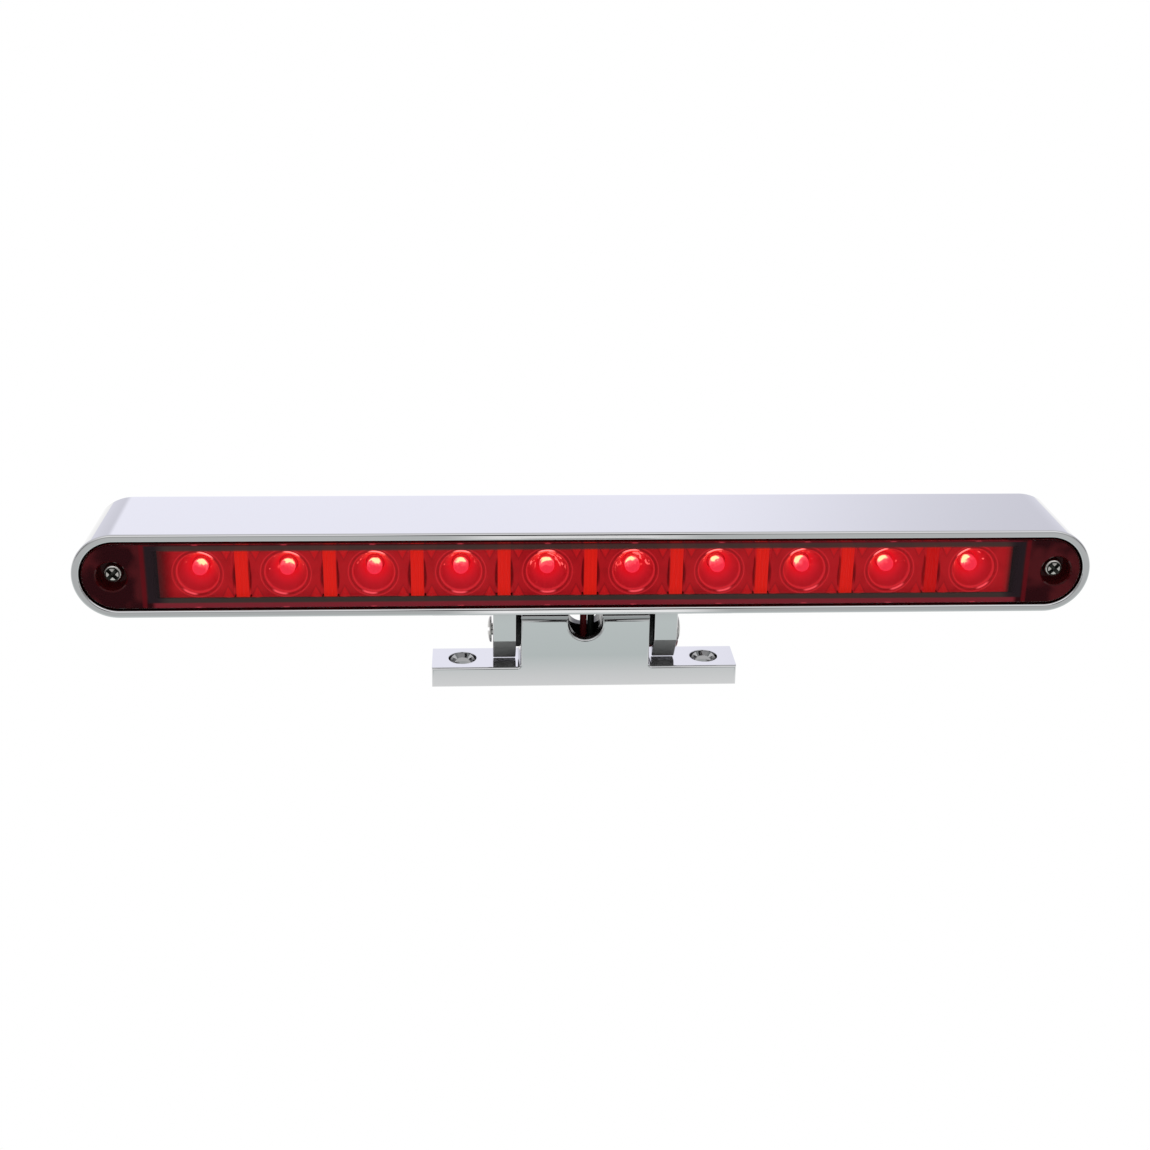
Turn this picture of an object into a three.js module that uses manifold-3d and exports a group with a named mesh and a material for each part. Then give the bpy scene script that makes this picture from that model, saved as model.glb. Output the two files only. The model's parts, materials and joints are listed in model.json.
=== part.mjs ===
// High-mount stop lamp: a chrome housing that tilts on a two-hole swivel base, with a ten-LED light bar.
// Millimetres, +Z up, front towards -Y. The origin is the centre of the base's underside.

import * as THREE from 'three';
import { mergeVertices } from 'three/addons/utils/BufferGeometryUtils.js';
import Module from 'manifold-3d';

const wasm = await Module();
wasm.setup();

// ---------- driving dimensions ----------

const GAP = 0.3; // between pieces that touch

const HOUSING = { length: 241.3, height: 20.9, depth: 29, rim: 1.91, back: 2, centreZ: 33.15 };
const STRAIGHT = HOUSING.length - HOUSING.height; // between the centres of the round ends
const OUTER_R = HOUSING.height / 2;
const POCKET_R = OUTER_R - HOUSING.rim;
const FRONT_Y = -HOUSING.depth / 2;
const BACK_Y = HOUSING.depth / 2;
const POCKET_FLOOR_Y = BACK_Y - HOUSING.back;
const UNDERSIDE_Z = HOUSING.centreZ - OUTER_R;

const PIVOT_Z = 13;
const LUG = { inner: 16.95, width: 5.7, halfDepth: 6.1, creaseZ: 12.3, bottomZ: 5.75, bottomHalf: 1 };

const PLATE = { length: 75.4, depth: 12.3, thickness: 5.2, holeX: 30.2 };
const BLOCK = { halfWidth: 15.85, top: 18.9, round: 1.6 };
const NOTCH = { radius: 4.2, bottom: 12.6 };
const WIRE_HOLE = { radius: 3.9, y: -0.5 };
const WIRE_CHANNEL = { width: 4.6, height: 2.3 };

const LENS = { radius: POCKET_R - 0.34, wall: 1, faceY: -14.15, face: 1.2, endY: -4.3 };
const CASE = { wall: 1.2, frontY: LENS.endY + GAP, floorY: 4.4, backY: 6 };
const LIGHT_X = 0.5; // the light bar's middle, a little to the right of the housing's
const SCREW_X = 111.9; // from the light bar's middle
const LENS_SCREW = { headR: 2.3, headY: -12.75, head: 1.4, shankR: 1.3, tipY: 11.4 };
const WELL_R = 3.6;
const SCREW_CLEAR_R = LENS_SCREW.shankR + GAP;
const PIVOT_SCREW = { headR: 3.3, head: 1.0, slot: 0.9, shankR: 1.5, endX: 9.5 };
const PIVOT_CLEAR_R = PIVOT_SCREW.shankR + GAP;
const WASHER = { radius: 4.4, gap: 0.2 };

const LEDS = { count: 10, pitch: 20.5 };
const REFLECTOR = { halfLength: 101.4, halfHeight: 6.05, frontY: -12.3, backY: -5.9 };
const BOWL = { rimR: 5.7, ringR: 5.1, backR: 2.2 };
const BAR = { width: 3, halfHeight: 5.8, frontY: -12.6 };
const CHAMBER_WALL_X = 104.9;
const BOARD = { length: 206, height: 13.2, frontY: -4.4, backY: -2.8 };
const LED = { radius: 1.8, flangeR: 2, flange: 0.8, tipY: -10.4 };

const LEAD = { radius: 0.86, redX: -0.2, blackX: 1.6, y: -0.25 };
const EXIT_X = (LEAD.redX + LEAD.blackX) / 2;
const GROMMET = { flangeR: 3.9, flange: 0.5, bodyR: 2.9 };
const COIL = { x: 15.9, y: 20, redR: 9.4, blackR: 7.5, height: 6.9 };

// ---------- materials ----------

const finish = (color, roughness, metalness) =>
  new THREE.MeshStandardMaterial({ color, roughness, metalness });
const CHROME = finish(0xdcdce4, 0.08, 1);
const STEEL = finish(0xb8b6b4, 0.25, 1);
const RED_LENS = finish(0x8c0f18, 0.1, 0);
const MIRROR = finish(0xc8c8c8, 0.2, 1);
const BLACK_PLASTIC = finish(0x151515, 0.5, 0);
const BOARD_GREEN = finish(0x1d4a2a, 0.5, 0);
const LED_AMBER = finish(0xffd27a, 0.3, 0);
const PART_DARK = finish(0x202020, 0.4, 0);
const RUBBER = finish(0x1a1a1a, 0.8, 0);
const LEAD_RED = finish(0x7a1018, 0.5, 0);
const LEAD_BLACK = finish(0x141614, 0.5, 0);

// ---------- solids ----------

function asSolid(geometry) {
  const bare = geometry.clone();
  bare.deleteAttribute('normal');
  bare.deleteAttribute('uv');
  const merged = mergeVertices(bare, 1e-4);
  const vertProperties = new Float32Array(merged.attributes.position.array);
  const triVerts = new Uint32Array(merged.index.array);
  return new wasm.Manifold(new wasm.Mesh({ numProp: 3, vertProperties, triVerts }));
}

function asGeometry(solid) {
  const mesh = solid.getMesh();
  const geometry = new THREE.BufferGeometry();
  geometry.setAttribute('position', new THREE.BufferAttribute(mesh.vertProperties, 3));
  geometry.setIndex(new THREE.BufferAttribute(mesh.triVerts, 1));
  geometry.computeVertexNormals();
  return geometry;
}

const joined = (first, ...others) =>
  asGeometry(others.reduce((whole, other) => whole.add(asSolid(other)), asSolid(first)));
const without = (first, ...cutters) =>
  asGeometry(cutters.reduce((rest, cutter) => rest.subtract(asSolid(cutter)), asSolid(first)));
const common = (first, second) => asGeometry(asSolid(first).intersect(asSolid(second)));

// A box from its lowest corner to its highest one.
function boxBetween(low, high) {
  const size = high.map((value, axis) => value - low[axis]);
  const centre = high.map((value, axis) => (value + low[axis]) / 2);
  return new THREE.BoxGeometry(...size).translate(...centre);
}

// A body of revolution about the Y axis; profile holds [radius, y] pairs by rising y.
function turned(profile, segments) {
  const points = profile.map(([radius, y]) => new THREE.Vector2(radius, y));
  return new THREE.LatheGeometry(points, segments);
}

const rod = (radius, fromY, toY, segments = 20) =>
  turned([[0, fromY], [radius, fromY], [radius, toY], [0, toY]], segments);

// The stadium-shaped kin of a lathe: each [radius, y] pair of the profile is one ring round both ends.
// The profile starts with the cap that faces the front and ends with the one that faces the back.
function stadium(profile, arcSteps = 20) {
  const ringSize = 2 * (arcSteps + 1);
  const positions = [];
  for (const [radius, y] of profile) {
    for (const side of [1, -1]) {
      for (let step = 0; step <= arcSteps; step++) {
        const angle = Math.PI * (step / arcSteps - 0.5);
        const x = side * (STRAIGHT / 2 + radius * Math.cos(angle));
        positions.push(x, y, side * radius * Math.sin(angle));
      }
    }
  }
  const indices = [];
  const last = (profile.length - 1) * ringSize;
  for (let i = 1; i < ringSize - 1; i++) {
    indices.push(0, i, i + 1, last, last + i + 1, last + i);
  }
  for (let ring = 0; ring < last; ring += ringSize) {
    for (let i = 0; i < ringSize; i++) {
      const next = (i + 1) % ringSize;
      indices.push(ring + i, ring + ringSize + i, ring + ringSize + next);
      indices.push(ring + i, ring + ringSize + next, ring + next);
    }
  }
  const geometry = new THREE.BufferGeometry();
  geometry.setAttribute('position', new THREE.Float32BufferAttribute(positions, 3));
  geometry.setIndex(indices);
  return geometry;
}

// Points of a quarter-round edge, from one angle to another, as [radius, y] pairs.
function roundEdge(centreR, centreY, radius, from, to, steps) {
  return Array.from({ length: steps + 1 }, (_, step) => {
    const angle = THREE.MathUtils.degToRad(from + (to - from) * step / steps);
    return [centreR + radius * Math.cos(angle), centreY + radius * Math.sin(angle)];
  });
}

const sides = (make) => [-1, 1].map(make);
const screwX = (side) => LIGHT_X + side * SCREW_X;
const atScrews = (body) => sides((side) => body.clone().translate(screwX(side), 0, 0));
const sideName = (side) => (side < 0 ? 'left' : 'right');
const ledX = (index) => LIGHT_X + (index - (LEDS.count - 1) / 2) * LEDS.pitch;
const twoDigits = (index) => String(index + 1).padStart(2, '0');

// ---------- housing, with its hinge lugs ----------

function hingeLug(side) {
  const top = 1; // how far the lug runs into the wall it grows from
  const shape = new THREE.Shape();
  const underside = UNDERSIDE_Z + top - HOUSING.centreZ;
  const crease = LUG.creaseZ - HOUSING.centreZ;
  const bottom = LUG.bottomZ - HOUSING.centreZ;
  shape.moveTo(LUG.halfDepth, underside);
  shape.lineTo(-LUG.halfDepth, underside);
  shape.lineTo(-LUG.halfDepth, crease);
  shape.lineTo(-LUG.bottomHalf, bottom);
  shape.lineTo(LUG.bottomHalf, bottom);
  shape.lineTo(LUG.halfDepth, crease);
  shape.closePath();
  const lug = new THREE.ExtrudeGeometry(shape, { depth: LUG.width, bevelEnabled: false });
  const turn = new THREE.Matrix4().makeBasis(
    new THREE.Vector3(0, 1, 0), new THREE.Vector3(0, 0, 1), new THREE.Vector3(1, 0, 0));
  return lug.applyMatrix4(turn).translate(side > 0 ? LUG.inner : -LUG.inner - LUG.width, 0, 0);
}

function pivotBore(side, from, to, z) {
  const bore = rod(PIVOT_CLEAR_R, from, to).rotateZ(-Math.PI / 2);
  return (side < 0 ? bore.rotateZ(Math.PI) : bore).translate(0, 0, z);
}

function housing() {
  const frontRound = 0.6;
  const backRound = 2.2;
  const lip = 0.2;
  const shell = stadium([
    [POCKET_R, POCKET_FLOOR_Y],
    [POCKET_R, FRONT_Y + lip],
    [POCKET_R + lip, FRONT_Y],
    ...roundEdge(OUTER_R - frontRound, FRONT_Y + frontRound, frontRound, -90, 0, 2),
    ...roundEdge(OUTER_R - backRound, BACK_Y - backRound, backRound, 0, 90, 4),
  ]);
  const bosses = atScrews(rod(3.5, CASE.backY + GAP, POCKET_FLOOR_Y + 0.5));
  const pilotHoles = atScrews(rod(SCREW_CLEAR_R, CASE.backY, POCKET_FLOOR_Y - GAP, 16));
  const axis = PIVOT_Z - HOUSING.centreZ;
  const bores = sides((side) => pivotBore(side, LUG.inner - 1, LUG.inner + LUG.width + 1, axis));
  const leadHole = rod(GROMMET.bodyR + GAP, -OUTER_R - 1, -POCKET_R + 1)
    .rotateX(Math.PI / 2).translate(EXIT_X, LEAD.y, 0);
  const body = joined(shell, ...sides(hingeLug), ...bosses);
  return without(body, ...pilotHoles, ...bores, leadHole);
}

// ---------- light bar ----------

function lens() {
  const edge = 0.4;
  const innerR = LENS.radius - LENS.wall;
  const faceBackY = LENS.faceY + LENS.face;
  const wellFloorY = LENS_SCREW.headY + LENS_SCREW.head + GAP;
  const cap = stadium([
    ...roundEdge(LENS.radius - edge, LENS.faceY + edge, edge, -90, 0, 2),
    [LENS.radius, LENS.endY],
    [innerR, LENS.endY],
    [innerR, faceBackY],
  ]);
  const walls = sides((side) => boxBetween(
    [LIGHT_X + side * CHAMBER_WALL_X - 0.5, faceBackY - 0.4, -innerR - 0.2],
    [LIGHT_X + side * CHAMBER_WALL_X + 0.5, LENS.endY - 0.7, innerR + 0.2]));
  const bosses = atScrews(rod(5.2, faceBackY - 0.4, LENS.endY));
  const wells = atScrews(rod(WELL_R, LENS.faceY - 1, wellFloorY, 24));
  const holes = atScrews(rod(SCREW_CLEAR_R, LENS.faceY, LENS.endY + 1, 16));
  return without(joined(cap, ...walls, ...bosses), ...wells, ...holes);
}

function backCase() {
  const edge = 0.4;
  const innerR = LENS.radius - CASE.wall;
  const tray = stadium([
    [innerR, CASE.floorY],
    [innerR, CASE.frontY],
    [LENS.radius, CASE.frontY],
    [LENS.radius, CASE.backY - edge],
    [LENS.radius - edge, CASE.backY],
  ]);
  const bosses = atScrews(rod(4, CASE.frontY, CASE.floorY + 0.5));
  const posts = [-4, -2, 2, 4].map((step) =>
    rod(1.5, BOARD.backY + GAP, CASE.floorY + 0.5, 12).translate(LIGHT_X + step * LEDS.pitch, 0, 0));
  const holes = atScrews(rod(SCREW_CLEAR_R, CASE.frontY - 1, CASE.backY + 1, 16));
  const leadHole = rod(GROMMET.bodyR - 0.5, -LENS.radius - 1, -innerR + 1)
    .rotateX(Math.PI / 2).translate(EXIT_X, LEAD.y, 0);
  return without(joined(tray, ...bosses, ...posts), ...holes, leadHole);
}

// One metallised strip: a bowl round each LED, open at its back, and a raised bar between neighbouring bowls.
function reflector() {
  const { halfLength, halfHeight, frontY, backY } = REFLECTOR;
  const strip = boxBetween(
    [LIGHT_X - halfLength, frontY, -halfHeight], [LIGHT_X + halfLength, backY, halfHeight]);
  const bars = Array.from({ length: LEDS.count - 1 }, (_, index) => {
    const x = ledX(index) + LEDS.pitch / 2;
    return boxBetween(
      [x - BAR.width / 2, BAR.frontY, -BAR.halfHeight], [x + BAR.width / 2, frontY + 1, BAR.halfHeight]);
  });
  const bowl = turned([
    [0, frontY - 1],
    [BOWL.rimR, frontY - 1],
    [BOWL.rimR, frontY],
    [BOWL.ringR, frontY + 0.5],
    [4.5, frontY + 1.7],
    [3.4, frontY + 4],
    [BOWL.backR, backY - 0.4],
    [BOWL.backR, backY + 1],
    [0, backY + 1],
  ], 24);
  const bowls = Array.from({ length: LEDS.count }, (_, index) => bowl.clone().translate(ledX(index), 0, 0));
  return without(joined(strip, ...bars), ...bowls);
}

function led() {
  const { radius, flangeR, flange, tipY } = LED;
  const seatY = BOARD.frontY - GAP;
  return turned([
    [0, tipY],
    [radius * 0.5, tipY + 0.22],
    [radius * 0.87, tipY + 0.8],
    [radius, tipY + 1.6],
    [radius, seatY - flange],
    [flangeR, seatY - flange],
    [flangeR, seatY],
    [0, seatY],
  ], 16);
}

const board = () => boxBetween(
  [LIGHT_X - BOARD.length / 2, BOARD.frontY, -BOARD.height / 2],
  [LIGHT_X + BOARD.length / 2, BOARD.backY, BOARD.height / 2]);

// A surface-mount component on the back of the board, by its size along X, Y and Z.
const component = (x, width, thick, tall) => boxBetween(
  [x - width / 2, BOARD.backY + GAP, -tall / 2], [x + width / 2, BOARD.backY + GAP + thick, tall / 2]);

// ---------- fasteners ----------

function lensScrew() {
  const { headR, headY, head, shankR, tipY } = LENS_SCREW;
  const recess = 0.9;
  const screw = turned([
    [0, headY],
    [headR * 0.72, headY + 0.1],
    [headR * 0.95, headY + 0.4],
    [headR, headY + 0.8],
    [headR, headY + head],
    [shankR, headY + head],
    [shankR, tipY - 1.5],
    [0, tipY],
  ], 20);
  const slots = [0, Math.PI / 2].map((angle) =>
    boxBetween([-1.35, headY - 1, -0.35], [1.35, headY + recess, 0.35]).rotateY(angle + Math.PI / 4));
  return without(screw, ...slots);
}

function pivotScrew() {
  const { headR, head, slot, shankR, endX } = PIVOT_SCREW;
  const seatX = LUG.inner + LUG.width + GAP;
  const screw = turned([
    [0, endX],
    [shankR, endX + 0.6],
    [shankR, seatX],
    [headR, seatX],
    [headR, seatX + 0.3],
    [headR * 0.85, seatX + head - 0.25],
    [headR * 0.5, seatX + head - 0.05],
    [0, seatX + head],
  ], 24);
  const groove = boxBetween(
    [-slot / 2, seatX + head - 0.5, -headR - 1],
    [slot / 2, seatX + head + 1, headR + 1])
    .rotateY(-0.4);
  return without(screw, groove).rotateZ(-Math.PI / 2);
}

function washer() {
  const fromX = BLOCK.halfWidth + WASHER.gap;
  const toX = LUG.inner - WASHER.gap;
  const ring = turned([
    [PIVOT_CLEAR_R, fromX], [WASHER.radius, fromX], [WASHER.radius, toX], [PIVOT_CLEAR_R, toX],
    [PIVOT_CLEAR_R, fromX],
  ], 24);
  return ring.rotateZ(-Math.PI / 2);
}

// ---------- base ----------

// The bracket's front outline: the plate, the block on it and the notch in the block's top.
function bracketOutline() {
  const { halfWidth, top } = BLOCK;
  const corner = 0.8;
  const half = PLATE.length / 2;
  const floor = PLATE.thickness;
  const notchZ = NOTCH.bottom + NOTCH.radius;
  const shape = new THREE.Shape();
  shape.moveTo(-half, 0);
  shape.lineTo(half, 0);
  shape.lineTo(half, floor);
  shape.lineTo(halfWidth + corner, floor);
  shape.absarc(halfWidth + corner, floor + corner, corner, -Math.PI / 2, -Math.PI, true);
  shape.lineTo(halfWidth, top - corner);
  shape.absarc(halfWidth - corner, top - corner, corner, 0, Math.PI / 2, false);
  shape.lineTo(NOTCH.radius, top);
  shape.absarc(0, notchZ, NOTCH.radius, 0, -Math.PI, true);
  shape.lineTo(-NOTCH.radius, top);
  shape.lineTo(-halfWidth + corner, top);
  shape.absarc(-halfWidth + corner, top - corner, corner, Math.PI / 2, Math.PI, false);
  shape.lineTo(-halfWidth, floor + corner);
  shape.absarc(-halfWidth - corner, floor + corner, corner, 0, -Math.PI / 2, true);
  shape.lineTo(-half, floor);
  shape.closePath();
  return shape;
}

function baseBracket() {
  const bevel = 0.4;
  const front = new THREE.ExtrudeGeometry(bracketOutline(), {
    depth: PLATE.depth - 2 * bevel,
    bevelThickness: bevel,
    bevelSize: bevel,
    bevelOffset: -bevel,
    bevelSegments: 1,
    curveSegments: 10,
  }).rotateX(Math.PI / 2).translate(0, PLATE.depth / 2 - bevel, 0);
  const side = new THREE.Shape();
  const halfDepth = PLATE.depth / 2;
  side.moveTo(-halfDepth, 0);
  side.lineTo(halfDepth, 0);
  side.absarc(halfDepth - BLOCK.round, BLOCK.top - BLOCK.round, BLOCK.round, 0, Math.PI / 2, false);
  side.absarc(-halfDepth + BLOCK.round, BLOCK.top - BLOCK.round, BLOCK.round, Math.PI / 2, Math.PI, false);
  side.closePath();
  const turn = new THREE.Matrix4().makeBasis(
    new THREE.Vector3(0, 1, 0), new THREE.Vector3(0, 0, 1), new THREE.Vector3(1, 0, 0));
  const depth = PLATE.length + 2;
  const rounded = new THREE.ExtrudeGeometry(side, { depth, bevelEnabled: false, curveSegments: 4 })
    .applyMatrix4(turn).translate(-PLATE.length / 2 - 1, 0, 0);
  const screwHoles = sides((hand) => turned([
    [0, -1], [2.1, -1], [2.1, 1.4], [3.4, 2.7], [3.4, PLATE.thickness + 1], [0, PLATE.thickness + 1],
  ], 24).rotateX(Math.PI / 2).translate(hand * PLATE.holeX, 0, 0));
  const wireHole = rod(WIRE_HOLE.radius, -1, BLOCK.top + 1, 28)
    .rotateX(Math.PI / 2).translate(0, WIRE_HOLE.y, 0);
  const channel = boxBetween(
    [EXIT_X - WIRE_CHANNEL.width / 2, 0, -1],
    [EXIT_X + WIRE_CHANNEL.width / 2, halfDepth + 1, WIRE_CHANNEL.height]);
  const bores = sides((hand) => pivotBore(hand, PIVOT_SCREW.endX - GAP, BLOCK.halfWidth + 1, PIVOT_Z));
  return without(common(front, rounded), ...screwHoles, wireHole, channel, ...bores);
}

// ---------- leads ----------

function grommet() {
  const bottom = UNDERSIDE_Z - HOUSING.centreZ - GAP - GROMMET.flange;
  const top = -POCKET_R - 0.1;
  const bush = turned([
    [0, bottom], [GROMMET.flangeR, bottom], [GROMMET.flangeR, bottom + GROMMET.flange],
    [GROMMET.bodyR, bottom + GROMMET.flange], [GROMMET.bodyR, top], [0, top],
  ], 24).rotateX(Math.PI / 2).translate(EXIT_X, LEAD.y, 0);
  const holeR = LEAD.radius + GAP;
  const holes = [LEAD.redX, LEAD.blackX].map((x) =>
    rod(holeR, bottom - 1, top + 1, 16).rotateX(Math.PI / 2).translate(x, LEAD.y, 0));
  const between = boxBetween([LEAD.redX, LEAD.y - holeR, bottom - 1], [LEAD.blackX, LEAD.y + holeR, top + 1]);
  return without(bush, ...holes, between);
}

// A round lead along a route of [x, y, z] points.
function lead(route, steps) {
  const points = route.map((point) => new THREE.Vector3(...point));
  const path = new THREE.CatmullRomCurve3(points, false, 'centripetal');
  const section = new THREE.Shape();
  const faces = 8;
  for (let side = 0; side < faces; side++) {
    const angle = 2 * Math.PI * (side + 0.5) / faces;
    section[side ? 'lineTo' : 'moveTo'](LEAD.radius * Math.cos(angle), LEAD.radius * Math.sin(angle));
  }
  return new THREE.ExtrudeGeometry(section, { steps, extrudePath: path, bevelEnabled: false });
}

// The stretch inside the lamp, soldered to the back of the board and led down to the grommet's lower face.
const insideRoute = (x) => [
  [x, -1.65, -3], [x, -1.65, -4.5], [x, -1.3, -6], [x, -0.6, -7.5], [x, -0.25, -9], [x, -0.25, -11.25],
];

// From under the grommet, down through the base, out at its back and up to the coil.
const RED_ROUTE = [
  [-0.2, -0.25, 21.5], [-0.2, -0.25, 17], [-0.2, -0.25, 12.5], [-0.2, -0.25, 8.5], [-0.2, -0.25, 4.8],
  [-0.2, 0.05, 3.3], [-0.2, 0.9, 2], [-0.2, 2.2, 1.15], [-0.2, 3.75, 0.88], [-0.2, 6.5, 0.88],
  [0.05, 8.5, 0.88], [0.75, 10.45, 0.88], [1.85, 12.2, 0.88], [3.35, 13.6, 0.88], [4.45, 14.65, 0.88],
  [5.3, 15.8, 0.88],
];
const BLACK_ROUTE = [
  [1.6, -0.25, 21.5], [1.6, -0.25, 17], [1.6, -0.25, 12.5], [1.6, -0.25, 8.5], [1.6, -0.25, 4.8],
  [1.6, 0.05, 3.3], [1.6, 0.9, 2], [1.6, 2.2, 1.15], [1.6, 3.75, 0.88], [1.6, 6.5, 0.88],
  [1.8, 8.1, 0.88], [2.38, 9.6, 0.88], [3.25, 10.95, 0.88], [4.5, 12.1, 0.88], [5.25, 12.75, 0.88],
  [6.05, 13.6, 0.88],
];

// The outer shape of one lead's turns, which lie behind the base.
function coil(radius) {
  const half = LEAD.radius + 0.02;
  const low = 0.02;
  return turned([
    [radius - half, low], [radius + half, low], [radius + half, COIL.height],
    [radius - half, COIL.height], [radius - half, low],
  ], 28).rotateX(Math.PI / 2).translate(COIL.x, COIL.y, 0);
}

// ---------- assembly ----------

function named(name, geometry, material) {
  const mesh = new THREE.Mesh(geometry, material);
  mesh.name = name;
  return mesh;
}

const lamp = new THREE.Group();
lamp.position.z = HOUSING.centreZ;
lamp.add(
  named('housing', housing(), CHROME),
  named('lens', lens(), RED_LENS),
  named('back_case', backCase(), BLACK_PLASTIC),
  named('reflector', reflector(), MIRROR),
  named('circuit_board', board(), BOARD_GREEN),
  named('resistor_left', component(-26, 3.2, 0.6, 1.6), PART_DARK),
  named('resistor_right', component(26, 3.2, 0.6, 1.6), PART_DARK),
  named('polarity_diode', component(12, 4.3, 2.2, 2.6), PART_DARK),
  named('lead_grommet', grommet(), RUBBER),
  named('lead_red_inside', lead(insideRoute(LEAD.redX), 9), LEAD_RED),
  named('lead_black_inside', lead(insideRoute(LEAD.blackX), 9), LEAD_BLACK),
);
for (let index = 0; index < LEDS.count; index++) {
  const emitter = named(`led_${twoDigits(index)}`, led(), LED_AMBER);
  emitter.position.x = ledX(index);
  lamp.add(emitter);
}
for (const side of [-1, 1]) {
  const screw = named(`lens_screw_${sideName(side)}`, lensScrew(), STEEL);
  screw.position.x = screwX(side);
  lamp.add(screw);
}

const base = new THREE.Group();
base.add(named('base_bracket', baseBracket(), CHROME));
for (const side of [-1, 1]) {
  const pin = named(`pivot_screw_${sideName(side)}`, pivotScrew(), STEEL);
  const ring = named(`washer_${sideName(side)}`, washer(), RUBBER);
  for (const piece of [pin, ring]) {
    piece.position.z = PIVOT_Z;
    piece.rotation.z = side < 0 ? Math.PI : 0;
    base.add(piece);
  }
}
base.add(
  named('lead_red', lead(RED_ROUTE, 22), LEAD_RED),
  named('lead_black', lead(BLACK_ROUTE, 22), LEAD_BLACK),
  named('lead_red_coil', coil(COIL.redR), LEAD_RED),
  named('lead_black_coil', coil(COIL.blackR), LEAD_BLACK),
);

const brakeLight = new THREE.Group();
brakeLight.add(base, lamp);
export default brakeLight;
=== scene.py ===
"""High-mount stop lamp: the looks of a chrome, tilting, ten-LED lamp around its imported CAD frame.

Lengths are millimetres until a mesh is made; Blender then holds metres. +Z is up, the lens faces -Y.
"""

import json
import math

import bmesh
import bpy
from mathutils import Matrix, Vector


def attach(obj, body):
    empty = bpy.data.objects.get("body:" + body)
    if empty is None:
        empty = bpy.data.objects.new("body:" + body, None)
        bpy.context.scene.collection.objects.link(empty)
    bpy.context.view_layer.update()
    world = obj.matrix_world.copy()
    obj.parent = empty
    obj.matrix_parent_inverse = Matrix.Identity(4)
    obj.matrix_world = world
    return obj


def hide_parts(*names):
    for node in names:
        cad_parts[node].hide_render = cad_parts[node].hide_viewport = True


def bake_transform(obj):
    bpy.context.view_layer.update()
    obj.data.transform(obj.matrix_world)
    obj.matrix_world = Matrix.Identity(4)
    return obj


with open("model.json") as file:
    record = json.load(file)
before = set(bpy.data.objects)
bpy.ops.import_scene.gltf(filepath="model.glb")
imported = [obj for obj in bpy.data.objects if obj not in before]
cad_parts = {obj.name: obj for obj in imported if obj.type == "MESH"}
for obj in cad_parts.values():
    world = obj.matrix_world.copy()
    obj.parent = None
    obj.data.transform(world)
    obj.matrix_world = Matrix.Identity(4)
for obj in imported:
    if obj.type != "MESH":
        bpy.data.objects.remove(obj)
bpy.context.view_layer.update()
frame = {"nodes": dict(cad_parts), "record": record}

# ---------- driving dimensions: those of the part's source, unless a comment says otherwise ----------

MM = 0.001

STRAIGHT = 220.4  # between the centres of the housing's round ends
LAMP_Z = 33.15  # height of the housing's middle
OUTER_R = 10.45
POCKET_R = 8.54
FRONT_Y = -14.5
BACK_Y = 14.5
POCKET_FLOOR_Y = 12.5
UNDERSIDE_Z = LAMP_Z - OUTER_R

PIVOT_Z = 13.0
LUG_INNER = 16.95
LUG_WIDTH = 5.7
LUG_HALF = 6.1
LUG_CREASE_Z = 12.3
LUG_BOTTOM_Z = 5.75
LUG_BOTTOM_HALF = 1.0

PLATE_LENGTH = 75.4
PLATE_DEPTH = 12.3
PLATE_TOP = 5.2
HOLE_X = 30.2
BLOCK_HALF = 15.85
BLOCK_TOP = 18.9
BLOCK_ROUND = 1.6
NOTCH_R = 4.2
NOTCH_BOTTOM = 12.6
WIRE_HOLE_R = 3.9
WIRE_HOLE_Y = -0.5
CHANNEL_WIDTH = 4.6
CHANNEL_TOP = 2.3

LENS_R = 8.2
LENS_WALL = 1.0
LENS_FACE_Y = -14.15
LENS_FACE = 1.2
LENS_END_Y = -4.3
LIGHT_X = 0.5  # the light bar's middle
CHAMBER_WALL_X = 104.9
SCREW_X = 111.9
WELL_R = 3.6
CASE_BACK_Y = 6.0

SCREW_HEAD_R = 2.3
SCREW_HEAD_Y = -12.75
SCREW_HEAD = 1.4
SCREW_SHANK_R = 1.3
SCREW_TIP_Y = 11.4
SCREW_CLEAR_R = 1.6

PIVOT_CENTRE = (0, 0, PIVOT_Z)
PIVOT_BORE_R = 1.8
BORE_FLOOR_X = 9.2
PIVOT_HEAD_R = 3.3
PIVOT_HEAD = 1.0
PIVOT_SLOT = 0.9
SLOT_LEAN = {"left": -22, "right": 70}  # degrees up from the line to the back
WASHER_R = 4.4
WASHER_GAP = 0.05  # 0.2 in the part's source

LED_COUNT = 10
LED_PITCH = 20.5
LED_R = 1.8
LED_FLANGE_R = 2.12  # 2.0 in the part's source
LED_TIP_Y = -10.4
LED_SEAT_Y = -4.7

TILE_HALF_LENGTH = 101.4
TILE_HALF_HEIGHT = 6.05
TILE_Y = -12.3
TILE_BACK_Y = -5.9
BOWL_RIM_R = 5.75
BOWL_RING_R = 5.0
BOWL_BACK_R = 2.2
BAR_WIDTH = 3.0

LEAD_R = 0.86
LEAD_Y = -0.25
EXIT_X = 0.7
GROMMET_FLANGE_R = 3.9
GROMMET_BODY_R = 2.9
GROMMET_BOTTOM = 21.9

COIL_X = 15.9
COIL_Y = 20.0

# ---------- camera ----------

CAMERA_PLACE = Vector((-0.02555, -0.37917, 0.17948))
CAMERA_DOWN = math.radians(21.84)
CAMERA_YAW = math.radians(3.488)
CAMERA_ROLL = math.radians(0.935)
CAMERA_LENS = 52.2


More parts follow.
